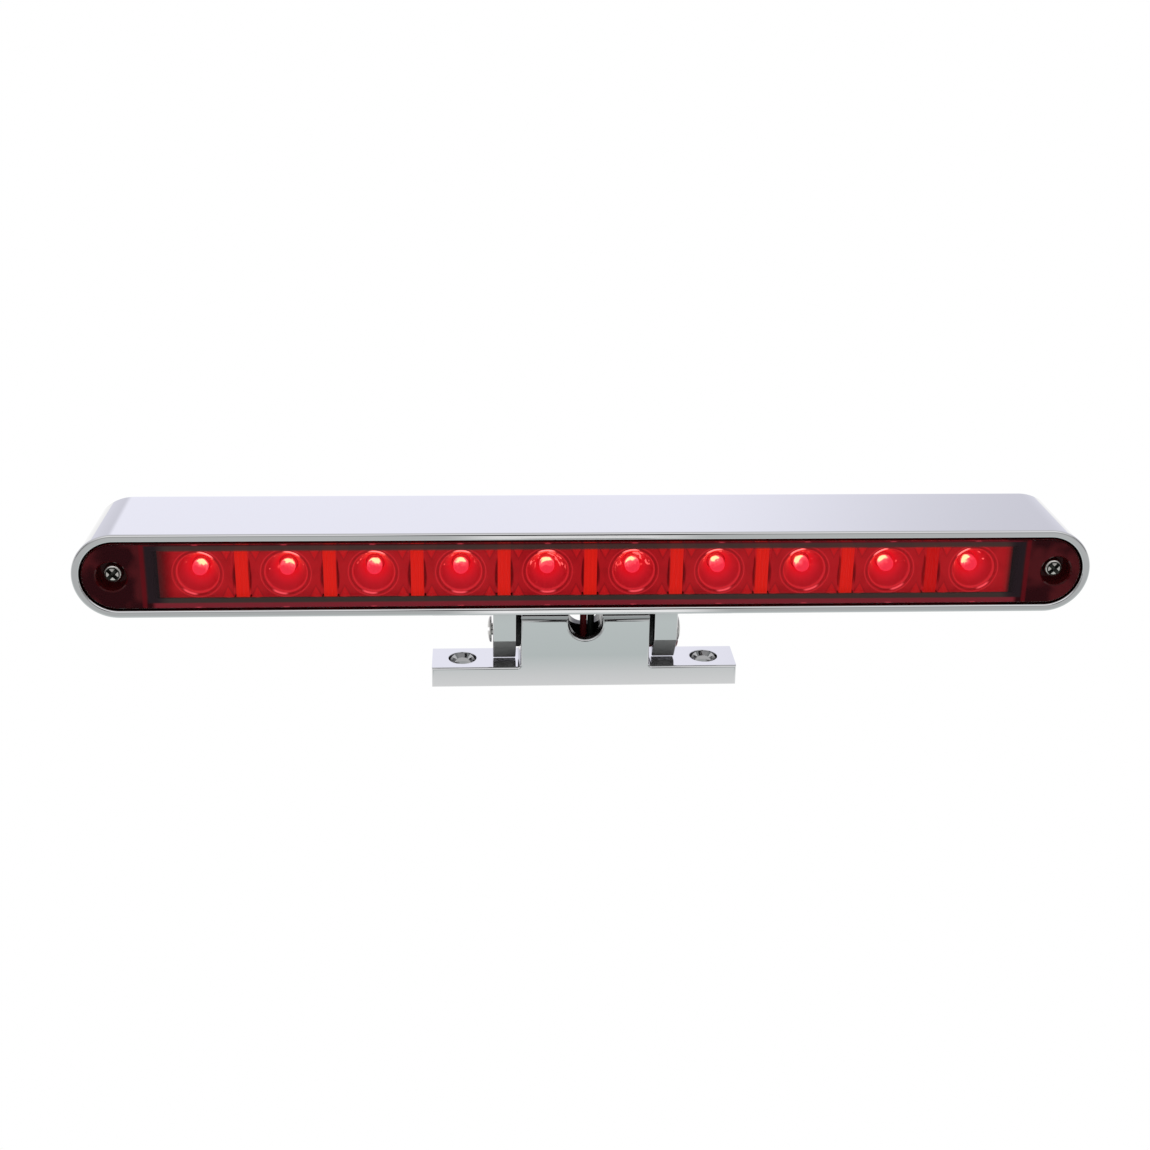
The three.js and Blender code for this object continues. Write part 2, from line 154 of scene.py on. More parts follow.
def make_camera():
    yaw_right = Vector((math.cos(CAMERA_YAW), -math.sin(CAMERA_YAW), 0))
    level = Vector((math.sin(CAMERA_YAW), math.cos(CAMERA_YAW), 0))
    ahead = level * math.cos(CAMERA_DOWN) - Vector((0, 0, math.sin(CAMERA_DOWN)))
    yaw_up = yaw_right.cross(ahead)
    right = yaw_right * math.cos(CAMERA_ROLL) + yaw_up * math.sin(CAMERA_ROLL)
    up = yaw_up * math.cos(CAMERA_ROLL) - yaw_right * math.sin(CAMERA_ROLL)
    data = bpy.data.cameras.new("camera")
    data.lens = CAMERA_LENS
    data.sensor_width = 36
    data.clip_start = 0.01
    camera = bpy.data.objects.new("camera", data)
    turn = Matrix((right, up, -ahead)).transposed()
    camera.matrix_world = Matrix.Translation(CAMERA_PLACE) @ turn.to_4x4()
    bpy.context.scene.collection.objects.link(camera)
    bpy.context.scene.camera = camera


# ---------- shader graphs ----------


class Graph:
    """Short calls for the nodes of one shader tree."""

    def __init__(self, tree):
        self.tree = tree
        tree.nodes.clear()

    def add(self, kind, settings=None, **inputs):
        """A new node. Inputs are named with underscores for spaces; one that is None stays as it is."""
        node = self.tree.nodes.new(kind)
        for name, value in (settings or {}).items():
            setattr(node, name, value)
        for name, value in inputs.items():
            self.feed(node.inputs[name.replace("_", " ")], value)
        return node

    def feed(self, socket, value):
        """Links a socket to another, or sets it. A colour is given as its red, green and blue."""
        if isinstance(value, bpy.types.NodeSocket):
            self.tree.links.new(value, socket)
        elif value is not None:
            socket.default_value = (*value, 1) if socket.type == "RGBA" else value

    def math(self, operation, *values):
        node = self.add("ShaderNodeMath", {"operation": operation})
        for socket, value in zip(node.inputs, values):
            self.feed(socket, value)
        return node.outputs[0]

    def times(self, first, second):
        return self.math("MULTIPLY", first, second)

    def plus(self, first, second):
        return self.math("ADD", first, second)

    def minus(self, first, second):
        return self.math("SUBTRACT", first, second)

    def larger(self, first, second):
        return self.math("MAXIMUM", first, second)

    def size(self, value):
        return self.math("ABSOLUTE", value)

    def distance(self, *offsets):
        """The length of the line that goes this far along each axis."""
        total = self.math("POWER", offsets[0], 2.0)
        for offset in offsets[1:]:
            total = self.plus(total, self.math("POWER", offset, 2.0))
        return self.math("SQRT", total)

    def share(self, value, start, span):
        """0 where value is start and 1 where it is span further, on a straight line."""
        return self.math("DIVIDE", self.minus(value, start), span)

    def step(self, value, low, high, low_to=0.0, high_to=1.0):
        """A smooth step: low_to where value is low or less, high_to where it is high or more."""
        smooth = {"interpolation_type": "SMOOTHSTEP"}
        ends = {"From_Min": low, "From_Max": high, "To_Min": low_to, "To_Max": high_to}
        return self.add("ShaderNodeMapRange", smooth, Value=value, **ends).outputs["Result"]

    def fall(self, value, low, high):
        """1 where value is low or less, 0 where it is high or more."""
        return self.step(value, low, high, 1.0, 0.0)

    def band(self, value, middle, half, soft):
        """1 where value is within half of middle, fading to 0 over soft beyond that."""
        return self.fall(self.size(self.minus(value, middle)), half, half + soft)

    def mix_colour(self, factor, first, second):
        node = self.add("ShaderNodeMix", {"data_type": "RGBA"})
        self.feed(node.inputs[0], factor)
        self.feed(node.inputs[6], first)
        self.feed(node.inputs[7], second)
        return node.outputs[2]

    def layers(self, colour, *coats):
        """A colour with coats over it: each is a share, which may vary from place to place, and a colour."""
        for share, coat in coats:
            colour = self.mix_colour(share, colour, coat)
        return colour

    def mix_shader(self, factor, first, second):
        node = self.add("ShaderNodeMixShader")
        for socket, value in zip(node.inputs, (factor, first.outputs[0], second.outputs[0])):
            self.feed(socket, value)
        return node

    def ramp(self, value, stops):
        node = self.add("ShaderNodeValToRGB", Fac=value)
        elements = node.color_ramp.elements
        elements.remove(elements[1])
        elements[0].position = stops[0][0]
        elements[0].color = (*stops[0][1], 1)
        for position, colour in stops[1:]:
            elements.new(position).color = (*colour, 1)
        return node.outputs["Color"]

    def place(self):
        return self.add("ShaderNodeTexCoord").outputs["Object"]

    def noise(self, scale, detail=2.0):
        return self.add("ShaderNodeTexNoise", Scale=scale, Detail=detail, Vector=self.place()).outputs["Fac"]

    def relief(self, height, depth, strength=1.0):
        """A surface normal that follows height, where 1 stands for depth millimetres."""
        bump = self.add("ShaderNodeBump", Height=height, Distance=depth * MM, Strength=strength)
        return bump.outputs["Normal"]

    def on_light_bar(self):
        """Millimetres along the light bar, across from the nearest LED, back, and above the bar's middle."""
        place = self.add("ShaderNodeSeparateXYZ", Vector=self.place()).outputs
        x, y, z = (self.times(place[axis], 1 / MM) for axis in range(3))
        along = self.minus(x, LIGHT_X)
        across = self.minus(self.math("WRAP", along, LED_PITCH, 0.0), LED_PITCH / 2)
        return along, across, y, self.minus(z, LAMP_Z)

    def show(self, shader):
        self.add("ShaderNodeOutputMaterial", Surface=shader.outputs[0])

    def show_principled(self, **inputs):
        self.show(self.add("ShaderNodeBsdfPrincipled", **inputs))

    def show_glossed(self, body, face_gloss, edge_gloss):
        """Shows a shader under a faintly rippled gloss, which is weakest where the surface faces the view."""
        ripple = self.relief(self.noise(90.0), 0.01, 0.6)
        shine = self.add("ShaderNodeBsdfGlossy", Roughness=0.04, Normal=ripple)
        facing = self.add("ShaderNodeLayerWeight").outputs["Facing"]
        self.show(self.mix_shader(self.step(facing, 0.15, 1.0, face_gloss, edge_gloss), body, shine))


def new_material(name):
    material = bpy.data.materials.new(name)
    material.use_nodes = True
    return material, Graph(material.node_tree)


GRAIN_SPREAD = 0.25  # how far a grain moves the roughness, as a share of it


def surface(name, colour, roughness, metallic, grain, depth, specular=0.5):
    """A Principled material with a grain in its roughness and, to a depth in millimetres, in its surface."""
    material, graph = new_material(name)
    noise = graph.noise(grain, 3.0)
    graph.show_principled(
        Base_Color=colour,
        Metallic=metallic,
        Roughness=graph.step(noise, 0.3, 0.7, roughness * (1 - GRAIN_SPREAD), roughness * (1 + GRAIN_SPREAD)),
        Specular_IOR_Level=specular,
        Normal=graph.relief(noise, depth) if depth else None,
    )
    return material


# Colours are red, green and blue. Those of the light bar's glow may be brighter than white, which is 1.
LENS_TINT = (0.9, 0.36, 0.385)  # the share of light that one face of the lens lets through
EDGE_TINT = (0.3, 0.01, 0.012)
EDGE_HAZE = (0.06, 0.004, 0.005)
FACE_GLOSS = 0.004
GLANCING_GLOSS = 0.35

# Painted shade: the lamp's inside as seen through the lens, painted on the lens face round the reflector.
INSIDE_SHADE = (0.058, 0.04, 0.036)
INSIDE_SHADE_NEAR_ENDS = (0.024, 0.014, 0.018)
# Painted shade in the upper stripe, less deep towards the right, and painted light in the lower one.
UPPER_STRIPE_LEFT = (0.055, 0.008, 0.011)
UPPER_STRIPE_RIGHT = (0.13, 0.008, 0.017)
LOWER_STRIPE = (0.25, 0.024, 0.036)
# Painted shade over the ends, in a random mottle of two tones.
END_DARK = (0.03, 0.003, 0.005)
END_LIGHT = (0.095, 0.01, 0.013)
WALL_LINE = (0.16, 0.006, 0.011)
# A painted reflection of the LEDs' light near the edge of the lens face.
EDGE_GLINT = (0.9, 0.08, 0.12)

# The reflector's emission: its LEDs' light painted on as a glow, with painted shade and painted reflections.
TILE_GLOW = (0.3, 0.045, 0.06)
BOWL_OUTER = (0.22, 0.006, 0.012)
BOWL_INNER = (0.7, 0.02, 0.05)
RING_BRIGHT = (0.75, 0.2, 0.24)
RING_SHADE = (0.08, 0.01, 0.015)
FACET = (0.5, 0.06, 0.06)
FACET_EDGE = (0.06, 0.01, 0.02)
SHADOW = (0.03, 0.004, 0.01)
BAR_BRIGHT = (0.62, 0.075, 0.03)
BAR_FAR_RIGHT = (0.42, 0.03, 0.02)
CREST = (2.6, 2.4, 2.0)
TOE = (1.6, 1.0, 1.1)
SPARK = (1.8, 1.3, 1.1)
MIRROR = (0.36, 0.36, 0.36)
MIRROR_SHADOW = (0.1, 0.1, 0.1)

LED_BODY = (0.3, 0.25, 0.22)
LED_GLOW = (0.95, 0.22, 0.4)
LED_GLOW_INNER = (1.5, 0.95, 1.05)
LED_BASE_GLOW = (0.5, 0.02, 0.05)
LED_DIE = (9.0, 6.8, 3.0)


def lens_edge():
    """The lens's outer rim and the walls of its screw wells: deep red and nearly opaque."""
    material, graph = new_material("lens_edge")
    through = graph.add("ShaderNodeBsdfTransparent", Color=EDGE_TINT)
    milky = graph.add("ShaderNodeBsdfDiffuse", Color=EDGE_HAZE)
    graph.show_glossed(graph.mix_shader(0.85, through, milky), 0.01, 0.2)
    return material


def lens_red():
    """Clear red plastic."""
    material, graph = new_material("lens_red")
    through = graph.add("ShaderNodeBsdfTransparent", Color=LENS_TINT)
    graph.show_glossed(through, FACE_GLOSS, GLANCING_GLOSS)
    return material


def lens_front():
    """The lens face: clear over the reflector; round it a diffuse coat paints the lamp's shaded inside as
    seen through it, deep red over the walls and ends, with painted light in the lower stripe and painted
    glints of the LEDs.
    """
    material, graph = new_material("lens_front")
    along, across, _, rise = graph.on_light_bar()
    away = graph.size(along)
    beside = graph.share(away, 101.1, 2.8)
    over = graph.larger(graph.share(rise, 6.2, 1.35), graph.share(graph.times(rise, -1.0), 5.3, 1.4))
    # Where the painted shade of the lamp's inside covers the face.
    shade_coat = graph.larger(graph.step(over, -0.15, 0.25), graph.step(beside, -0.9, 0.6))
    wall = graph.step(graph.larger(over, beside), 0.85, 1.15)
    rightward = graph.step(along, -0.5, 59.5)
    upper = graph.mix_colour(rightward, UPPER_STRIPE_LEFT, UPPER_STRIPE_RIGHT)
    stripe = graph.mix_colour(graph.fall(rise, -1.0, 1.0), upper, LOWER_STRIPE)
    ends = graph.mix_colour(graph.step(graph.noise(120.0), 0.4, 0.6), END_DARK, END_LIGHT)
    past = graph.mix_colour(graph.step(away, 101.8, 103.2), stripe, ends)
    inside_shade = graph.mix_colour(graph.step(away, 98.5, 102.0), INSIDE_SHADE, INSIDE_SHADE_NEAR_ENDS)
    line = graph.times(graph.band(away, 104.6, 0.25, 0.5), 0.75)
    # Painted glints: the LEDs' light reflected near the top and bottom of the face.
    glint = graph.times(graph.band(across, 0.0, 0.3, 0.7), graph.step(graph.size(rise), 7.5, 8.1))
    glint = graph.times(glint, graph.fall(away, 94.0, 96.0))
    colour = graph.layers(inside_shade, (wall, past), (line, WALL_LINE), (glint, EDGE_GLINT))
    milky = graph.add("ShaderNodeBsdfDiffuse", Color=colour)
    through = graph.add("ShaderNodeBsdfTransparent", Color=LENS_TINT)
    body = graph.mix_shader(graph.times(shade_coat, 0.93), through, milky)
    graph.show_glossed(body, FACE_GLOSS, GLANCING_GLOSS)
    return material


def lit_reflector():
    """Metallised plastic with its LEDs' light painted on as a glow: a glow in each bowl, rings round it and
    bright bars between, with painted shade and painted reflections.
    """
    material, graph = new_material("reflector_mirror")
    along, local, _, rise = graph.on_light_bar()
    height = graph.size(rise)
    radius = graph.distance(local, rise)
    fine = graph.noise(700.0, 3.0)
    mottle = graph.step(graph.noise(230.0), 0.3, 0.7, 0.8, 1.15)
    tile = graph.mix_colour(mottle, (0.0, 0.0, 0.0), TILE_GLOW)
    bowl = graph.mix_colour(graph.fall(radius, 1.8, 4.6), BOWL_OUTER, BOWL_INNER)
    rings = graph.larger(graph.band(radius, 4.95, 0.1, 0.15), graph.band(radius, 5.95, 0.05, 0.15))
    # Painted shade: a darker ring in each bowl's glow.
    groove = graph.band(radius, 5.4, 0.12, 0.15)

    # The bars, and what lies beside them: facets in the corners, painted lit with a painted dark edge, and a
    # painted shadow crescent.
    from_bar = graph.minus(LED_PITCH / 2, graph.size(local))
    inner = graph.fall(graph.size(along), 95.0, 96.0)
    bar = graph.times(graph.fall(from_bar, BAR_WIDTH / 2 - 0.05, BAR_WIDTH / 2 + 0.1), inner)
    slant = graph.times(graph.minus(height, 3.3), 0.5)
    past_facet = graph.minus(graph.size(graph.minus(from_bar, 3.4)), slant)
    facet = graph.times(graph.fall(past_facet, -0.25, 0.05), inner)
    facet_edge = graph.times(graph.band(past_facet, 0.1, 0.05, 0.15), inner)
    sunk = graph.math("DIVIDE", graph.math("POWER", graph.plus(rise, 1.2), 2.0), 26.0)
    width = graph.minus(BAR_WIDTH / 2 + 0.85, sunk)
    crescent = graph.times(graph.fall(graph.minus(from_bar, width), -0.35, 0.1), inner)
    crescent = graph.times(crescent, graph.fall(height, 4.2, 5.2))
    bright_bar = graph.mix_colour(graph.step(along, 55.0, 85.0), BAR_BRIGHT, BAR_FAR_RIGHT)

    # Painted reflections: bright arcs at the top and the bottom of each bowl, which shift a little from one
    # LED to the next, and painted sparks.
    shift = graph.plus(graph.times(graph.minus(along, local), -0.0285), -0.5)
    from_crest = graph.distance(graph.minus(local, shift), graph.minus(rise, 4.9))
    crest = graph.times(graph.fall(from_crest, 1.0, 2.4), graph.band(radius, 5.2, 0.1, 0.16))
    from_toe = graph.distance(graph.plus(local, shift), graph.plus(rise, 5.0))
    toe = graph.times(graph.step(from_toe, 1.0, 2.2, 0.6, 0.0), graph.band(radius, 5.35, 0.12, 0.2))
    spark_zone = graph.times(graph.band(radius, 3.2, 0.9, 0.5), graph.step(rise, -1.5, 0.5))
    central = graph.step(graph.size(along), 19.0, 24.0, 0.09, 0.0)
    sparks = graph.times(spark_zone, graph.step(graph.plus(fine, central), 0.64, 0.7))
    # Painted shade: the glow and the mirror dimmed at the strip's ends and in the crescents.
    leftward = graph.times(along, -1.0)
    ends = graph.larger(graph.step(leftward, 97.0, 100.5), graph.step(along, 100.4, 101.4))
    dim = graph.times(ends, 0.75)
    dark = graph.larger(dim, graph.times(crescent, graph.minus(1.0, bar)))
    colour = graph.layers(
        tile,
        (graph.fall(radius, 4.9, 5.15), bowl),
        (graph.times(rings, 0.45), RING_BRIGHT),
        (graph.times(groove, 0.4), RING_SHADE),
        (graph.times(facet, 0.6), FACET),
        (graph.times(facet_edge, 0.5), FACET_EDGE),
        (graph.times(crescent, 0.65), SHADOW),
        (bar, bright_bar),
        (crest, CREST),
        (toe, TOE),
        (sparks, SPARK),
        (dim, SHADOW),
    )
    graph.show_principled(
        Base_Color=graph.mix_colour(dark, MIRROR, MIRROR_SHADOW),
        Metallic=0.3,
        Roughness=graph.step(fine, 0.3, 0.7, 0.3, 0.42),
        Emission_Color=colour,
        Emission_Strength=1.0,
    )
    return material


def lit_led():
    """A clear bullet with its die lit: near white round the die, pink towards the tip."""
    material, graph = new_material("led_emitter")
    along, local, y, rise = graph.on_light_bar()
    hot_x = graph.plus(graph.times(graph.minus(along, local), -0.0105), -0.35)
    away = graph.distance(graph.minus(local, hot_x), graph.minus(y, -8.3), graph.minus(rise, 1.25))
    ragged = graph.plus(away, graph.step(graph.noise(900.0), 0.3, 0.7, -0.25, 0.35))
    inner = (graph.fall(ragged, 1.3, 2.3), LED_GLOW_INNER)
    base = (graph.step(y, -7.6, -6.6), LED_BASE_GLOW)
    die = (graph.fall(ragged, 1.0, 1.5), LED_DIE)
    glow = graph.layers(LED_GLOW, inner, base, die)
    graph.show_principled(Base_Color=LED_BODY, Roughness=0.25, Emission_Color=glow, Emission_Strength=1.0)
    return material


def board_material():
    """Green solder mask over faintly raised copper tracks."""
    material, graph = new_material("board")
    tracks = graph.add(
        "ShaderNodeTexBrick",
        Vector=graph.place(),
        Scale=160.0,
        Mortar_Size=0.03,
        Color1=(0.012, 0.07, 0.025),
        Color2=(0.014, 0.08, 0.03),
        Mortar=(0.03, 0.14, 0.05),
    )
    graph.show_principled(Base_Color=tracks.outputs["Color"], Roughness=0.35)
    return material


MATTE = 0.15  # how much the leads shine when seen square on; other pieces have 0.5

# Colour, roughness, metallic, scale of the grain, and the depth of its relief.
SURFACES = {
    "chrome": ((0.57, 0.57, 0.575), 0.03, 1.0, 120.0, 0),
    # Painted shade under the lugs.
    "lug_underside_shade": ((0.17, 0.17, 0.17), 0.4, 0.2, 900.0, 0.004),
    # Painted shade in the notch and the wire hole.
    "wire_way_shade": ((0.035, 0.034, 0.034), 0.25, 0.8, 300.0, 0),
    "steel": ((0.56, 0.53, 0.5), 0.2, 1.0, 900.0, 0.004),
    "pivot_steel": ((0.36, 0.35, 0.34), 0.16, 1.0, 900.0, 0.004),
    # Painted shade in the lens screws' cross recesses.
    "recess_shade": ((0.03, 0.032, 0.026), 0.35, 0.6, 900.0, 0),
    "case_black": ((0.012, 0.012, 0.012), 0.5, 0.0, 1500.0, 0.02),
    "component_black": ((0.015, 0.015, 0.016), 0.45, 0.0, 2500.0, 0.01),
    "rubber": ((0.014, 0.014, 0.014), 0.75, 0.0, 2500.0, 0.02),
    "lead_red": ((0.1, 0.006, 0.008), 0.55, 0.0, 900.0, 0.01, MATTE),
    "lead_black": ((0.008, 0.009, 0.008), 0.55, 0.0, 900.0, 0.01, MATTE),
    "copper": ((0.72, 0.36, 0.2), 0.3, 1.0, 2500.0, 0.03),
    "tie": ((0.01, 0.01, 0.01), 0.55, 0.0, 3000.0, 0.02),
}
MATERIALS = {name: surface(name, *values) for name, values in SURFACES.items()}
MATERIALS.update(
    lens_red=lens_red(),
    lens_edge=lens_edge(),
    lens_front=lens_front(),
    reflector_mirror=lit_reflector(),
    led_emitter=lit_led(),
    board=board_material(),
)


# ---------- mesh code ----------


def tidy_normals(obj):
    """Faces outward, with coinciding points merged."""
    shape = bmesh.new()
    shape.from_mesh(obj.data)
    bmesh.ops.remove_doubles(shape, verts=shape.verts, dist=1e-7)
    bmesh.ops.recalc_face_normals(shape, faces=shape.faces)
    shape.to_mesh(obj.data)
    shape.free()


def loft(name, rings, material=None):
    """A closed skin over rings with the same number of points, with a flat cap on each end."""
    count = len(rings[0])
    vertices = [Vector(point) * MM for ring in rings for point in ring]
    faces = [tuple(range(count)), tuple(range(len(vertices) - 1, len(vertices) - 1 - count, -1))]
    for start in range(0, len(vertices) - count, count):
        for here in range(count):
            after = (here + 1) % count
            low, high = start + here, start + after
            faces.append((low, low + count, high + count, high))
    mesh = bpy.data.meshes.new(name)
    mesh.from_pydata(vertices, [], faces)
    obj = bpy.data.objects.new(name, mesh)
    if material:
        mesh.materials.append(MATERIALS[material])
    bpy.context.scene.collection.objects.link(obj)
    tidy_normals(obj)
    return obj


def stadium_rings(profile, arc_steps=48):
    """One ring round both ends for each (radius, y) of the profile."""
    rings = []
    for radius, y in profile:
        ring = []
        for side in (1, -1):
            for step in range(arc_steps + 1):
                angle = math.pi * (step / arc_steps - 0.5)
                x = side * (STRAIGHT / 2 + radius * math.cos(angle))
                ring.append((x, y, LAMP_Z + side * radius * math.sin(angle)))
        rings.append(ring)
    return rings


def stadium(name, profile, material=None):
    return loft(name, stadium_rings(profile), material)


def turned(name, profile, centre, axis, material=None, segments=48, start=0.0):
    """A body of revolution: profile holds (radius, height) along the axis through centre."""
    rings = []
    for radius, height in profile:
        ring = []
        for step in range(segments):
            angle = start + 2 * math.pi * step / segments
            across, up = radius * math.cos(angle), radius * math.sin(angle)
            offset = {"X": (height, across, up), "Y": (across, height, up), "Z": (across, up, height)}[axis]
            ring.append(Vector(centre) + Vector(offset))
        rings.append(ring)
    return loft(name, rings, material)


def rod(name, radius, low, high, centre, axis, segments=40):
    return turned(name, [(radius, low), (radius, high)], centre, axis, segments=segments)


def block(name, low, high, material=None):
    corners = [(low[0], low[1]), (high[0], low[1]), (high[0], high[1]), (low[0], high[1])]
    return loft(name, [[(x, y, z) for x, y in corners] for z in (low[2], high[2])], material)


def arc(centre_a, centre_b, radius, start, end, steps):
    """Points of an arc, as (a, b), from one angle to another in degrees."""
    points = []
    for step in range(steps + 1):
        angle = math.radians(start + (end - start) * step / steps)
        points.append((centre_a + radius * math.cos(angle), centre_b + radius * math.sin(angle)))
    return points


def inset(outline, distance):
    """The outline moved inwards by distance, with its corners mitred. It runs anticlockwise."""
    moved = []
    count = len(outline)
    for i, point in enumerate(outline):
        here = Vector(point)
        before = (here - Vector(outline[i - 1])).normalized()
        after = (Vector(outline[(i + 1) % count]) - here).normalized()
        bisector = before + after
        inward = Vector((-bisector.y, bisector.x)).normalized()
        share = max(0.3, inward.dot(Vector((-before.y, before.x))))
        moved.append(tuple(here + inward * distance / share))
    return moved


def extruded(name, outline, low, high, edge, put, material=None, steps=5):
    """A prism over an anticlockwise outline, with both its end edges rounded. put places (a, b, depth)."""
    rings = []
    for end, sign in ((low, 1), (high, -1)):
        turn = []
        for step in range(steps + 1):
            angle = math.pi / 2 * step / steps
            shift = edge * (1 - math.sin(angle))
            depth = end + sign * edge * (1 - math.cos(angle))
            turn.append([put(a, b, depth) for a, b in inset(outline, shift)])
        rings += turn if end == low else turn[::-1]
    return loft(name, rings, material)


def apply_modifiers(obj):
    bpy.context.view_layer.update()
    solved = obj.evaluated_get(bpy.context.evaluated_depsgraph_get())
    mesh = bpy.data.meshes.new_from_object(solved)
    mesh.name = obj.name
    obj.modifiers.clear()
    obj.data = mesh


def combined(obj, others, operation):
    """obj joined with, or cut by, the others, which are used up."""
    for other in others:
        modifier = obj.modifiers.new("shape", "BOOLEAN")
        modifier.operation = operation
        modifier.solver = "EXACT"
        modifier.object = other
    apply_modifiers(obj)
    for other in others:
        bpy.data.objects.remove(other)
    return obj


def joined(obj, *others):
    return combined(obj, others, "UNION")


def without(obj, *others):
    return combined(obj, others, "DIFFERENCE")


def shared(obj, other):
    return combined(obj, [other], "INTERSECT")


def merged(first, *others):
    """Shapes that don't touch each other, as one object."""
    shape = bmesh.new()
    for obj in (first, *others):
        shape.from_mesh(obj.data)
    shape.to_mesh(first.data)
    shape.free()
    for obj in others:
        bpy.data.objects.remove(obj)
    return first


def shade(obj, sharp):
    """Smooth faces with crisp corners, and flat faces that look flat."""
    obj.data.shade_smooth()
    obj.data.set_sharp_from_angle(angle=math.radians(sharp))
    modifier = obj.modifiers.new("normals", "WEIGHTED_NORMAL")
    modifier.keep_sharp = True
    apply_modifiers(obj)
    return obj


def repaint(obj, material, chosen):
    """Another material for the faces that chosen picks by their middle, in millimetres, and normal."""
    obj.data.materials.append(MATERIALS[material])
    for polygon in obj.data.polygons:
        if chosen(polygon.center / MM, polygon.normal):
            polygon.material_index = len(obj.data.materials) - 1


def place(obj, body, slot, *nodes, sharp=35):
    """Shades a finished piece, and makes it ride on its body and stand for its CAD nodes."""
    shade(obj, sharp)
    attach(obj, body)
    if nodes:
        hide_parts(*nodes)
    return obj


def led_x(index):
    return LIGHT_X + (index - (LED_COUNT - 1) / 2) * LED_PITCH


def two_digits(index):
    return f"{index + 1:02d}"


SIDES = ((-1, "left"), (1, "right"))


def screw_centre(side):
    """Where the axis of a lens screw crosses the plane y = 0."""
    return (LIGHT_X + side * SCREW_X, 0, LAMP_Z)


def screw_distance(point):
    """How far a point, in millimetres, is from the axis of the lens screw on its side."""
    axis = LIGHT_X + math.copysign(SCREW_X, point.x)
    return math.hypot(point.x - axis, point.z - LAMP_Z)


def at_screws(name, profile, segments=40):
    """The same turned shape round both lens screws, as one object."""
    return merged(*[turned(name, profile, screw_centre(side), "Y", segments=segments) for side, _ in SIDES])


def pivot_bores(low, high):
    """Cutters along the pivot axis on both sides, from low to high away from the middle."""
    ends = [sorted((side * low, side * high)) for side, _ in SIDES]
    return merged(*[rod("bore", PIVOT_BORE_R, *span, PIVOT_CENTRE, "X") for span in ends])


# ---------- housing ----------


def hinge_lug(side):
    low, high = sorted((side * LUG_INNER, side * (LUG_INNER + LUG_WIDTH)))
    outline = [(-LUG_HALF, LUG_CREASE_Z), (-LUG_BOTTOM_HALF, LUG_BOTTOM_Z), (LUG_BOTTOM_HALF, LUG_BOTTOM_Z)]
    outline += [(LUG_HALF, LUG_CREASE_Z), (LUG_HALF, UNDERSIDE_Z + 1), (-LUG_HALF, UNDERSIDE_Z + 1)]
    return extruded(f"lug_{side}", outline, low, high, 0.35, lambda y, z, x: (x, y, z))


def make_housing():
    inner_round = 0.55
    outer_round = 0.6
    back_round = 2.2
    face_in = POCKET_R + inner_round
    face_out = OUTER_R - outer_round
    front = FRONT_Y
    hold = 0.03  # rings close to the rounds keep the face between them flat
    profile = [(POCKET_R, POCKET_FLOOR_Y)]
    profile += arc(face_in, front + inner_round, inner_round, 180, 270, 5)
    profile += [(face_in + hold, front), (face_out - hold, front)]
    profile += arc(face_out, front + outer_round, outer_round, -90, 0, 8)
    profile += arc(OUTER_R - back_round, BACK_Y - back_round, back_round, 0, 90, 10)
    shell = stadium("housing_shell", profile, "chrome")
    lugs = [hinge_lug(side) for side, _ in SIDES]
    boss_r = 3.5
    exit_r = 3.2
    bosses = at_screws("boss", [(boss_r, CASE_BACK_Y + 0.3), (boss_r, POCKET_FLOOR_Y + 0.5)])
    joined(shell, merged(*lugs), bosses)
    pilots = at_screws("pilot", [(SCREW_CLEAR_R, CASE_BACK_Y - 1), (SCREW_CLEAR_R, POCKET_FLOOR_Y - 0.3)])
    bores = pivot_bores(LUG_INNER - 1, LUG_INNER + LUG_WIDTH + 1)
    exit_hole = rod("exit", exit_r, UNDERSIDE_Z - 1, UNDERSIDE_Z + 3, (EXIT_X, LEAD_Y, 0), "Z")
    without(shell, pilots, bores, exit_hole)

    # Painted shade: the slanting faces under the lugs get a dull grey for the dark they reflect.
    def under_lug(centre, normal):
        slanting = normal.z < -0.3 and abs(normal.x) < 0.5
        return slanting and centre.z < LUG_CREASE_Z and abs(centre.x) < LUG_INNER + LUG_WIDTH + 1

    repaint(shell, "lug_underside_shade", under_lug)
    place(shell, "lamp", "chrome", "housing")


# ---------- light bar ----------


def end_distance(point):
    """How far a point, in millimetres, is from the housing's long middle line."""
    beyond = max(0.0, abs(point.x) - STRAIGHT / 2)
    return math.hypot(beyond, point.z - LAMP_Z)


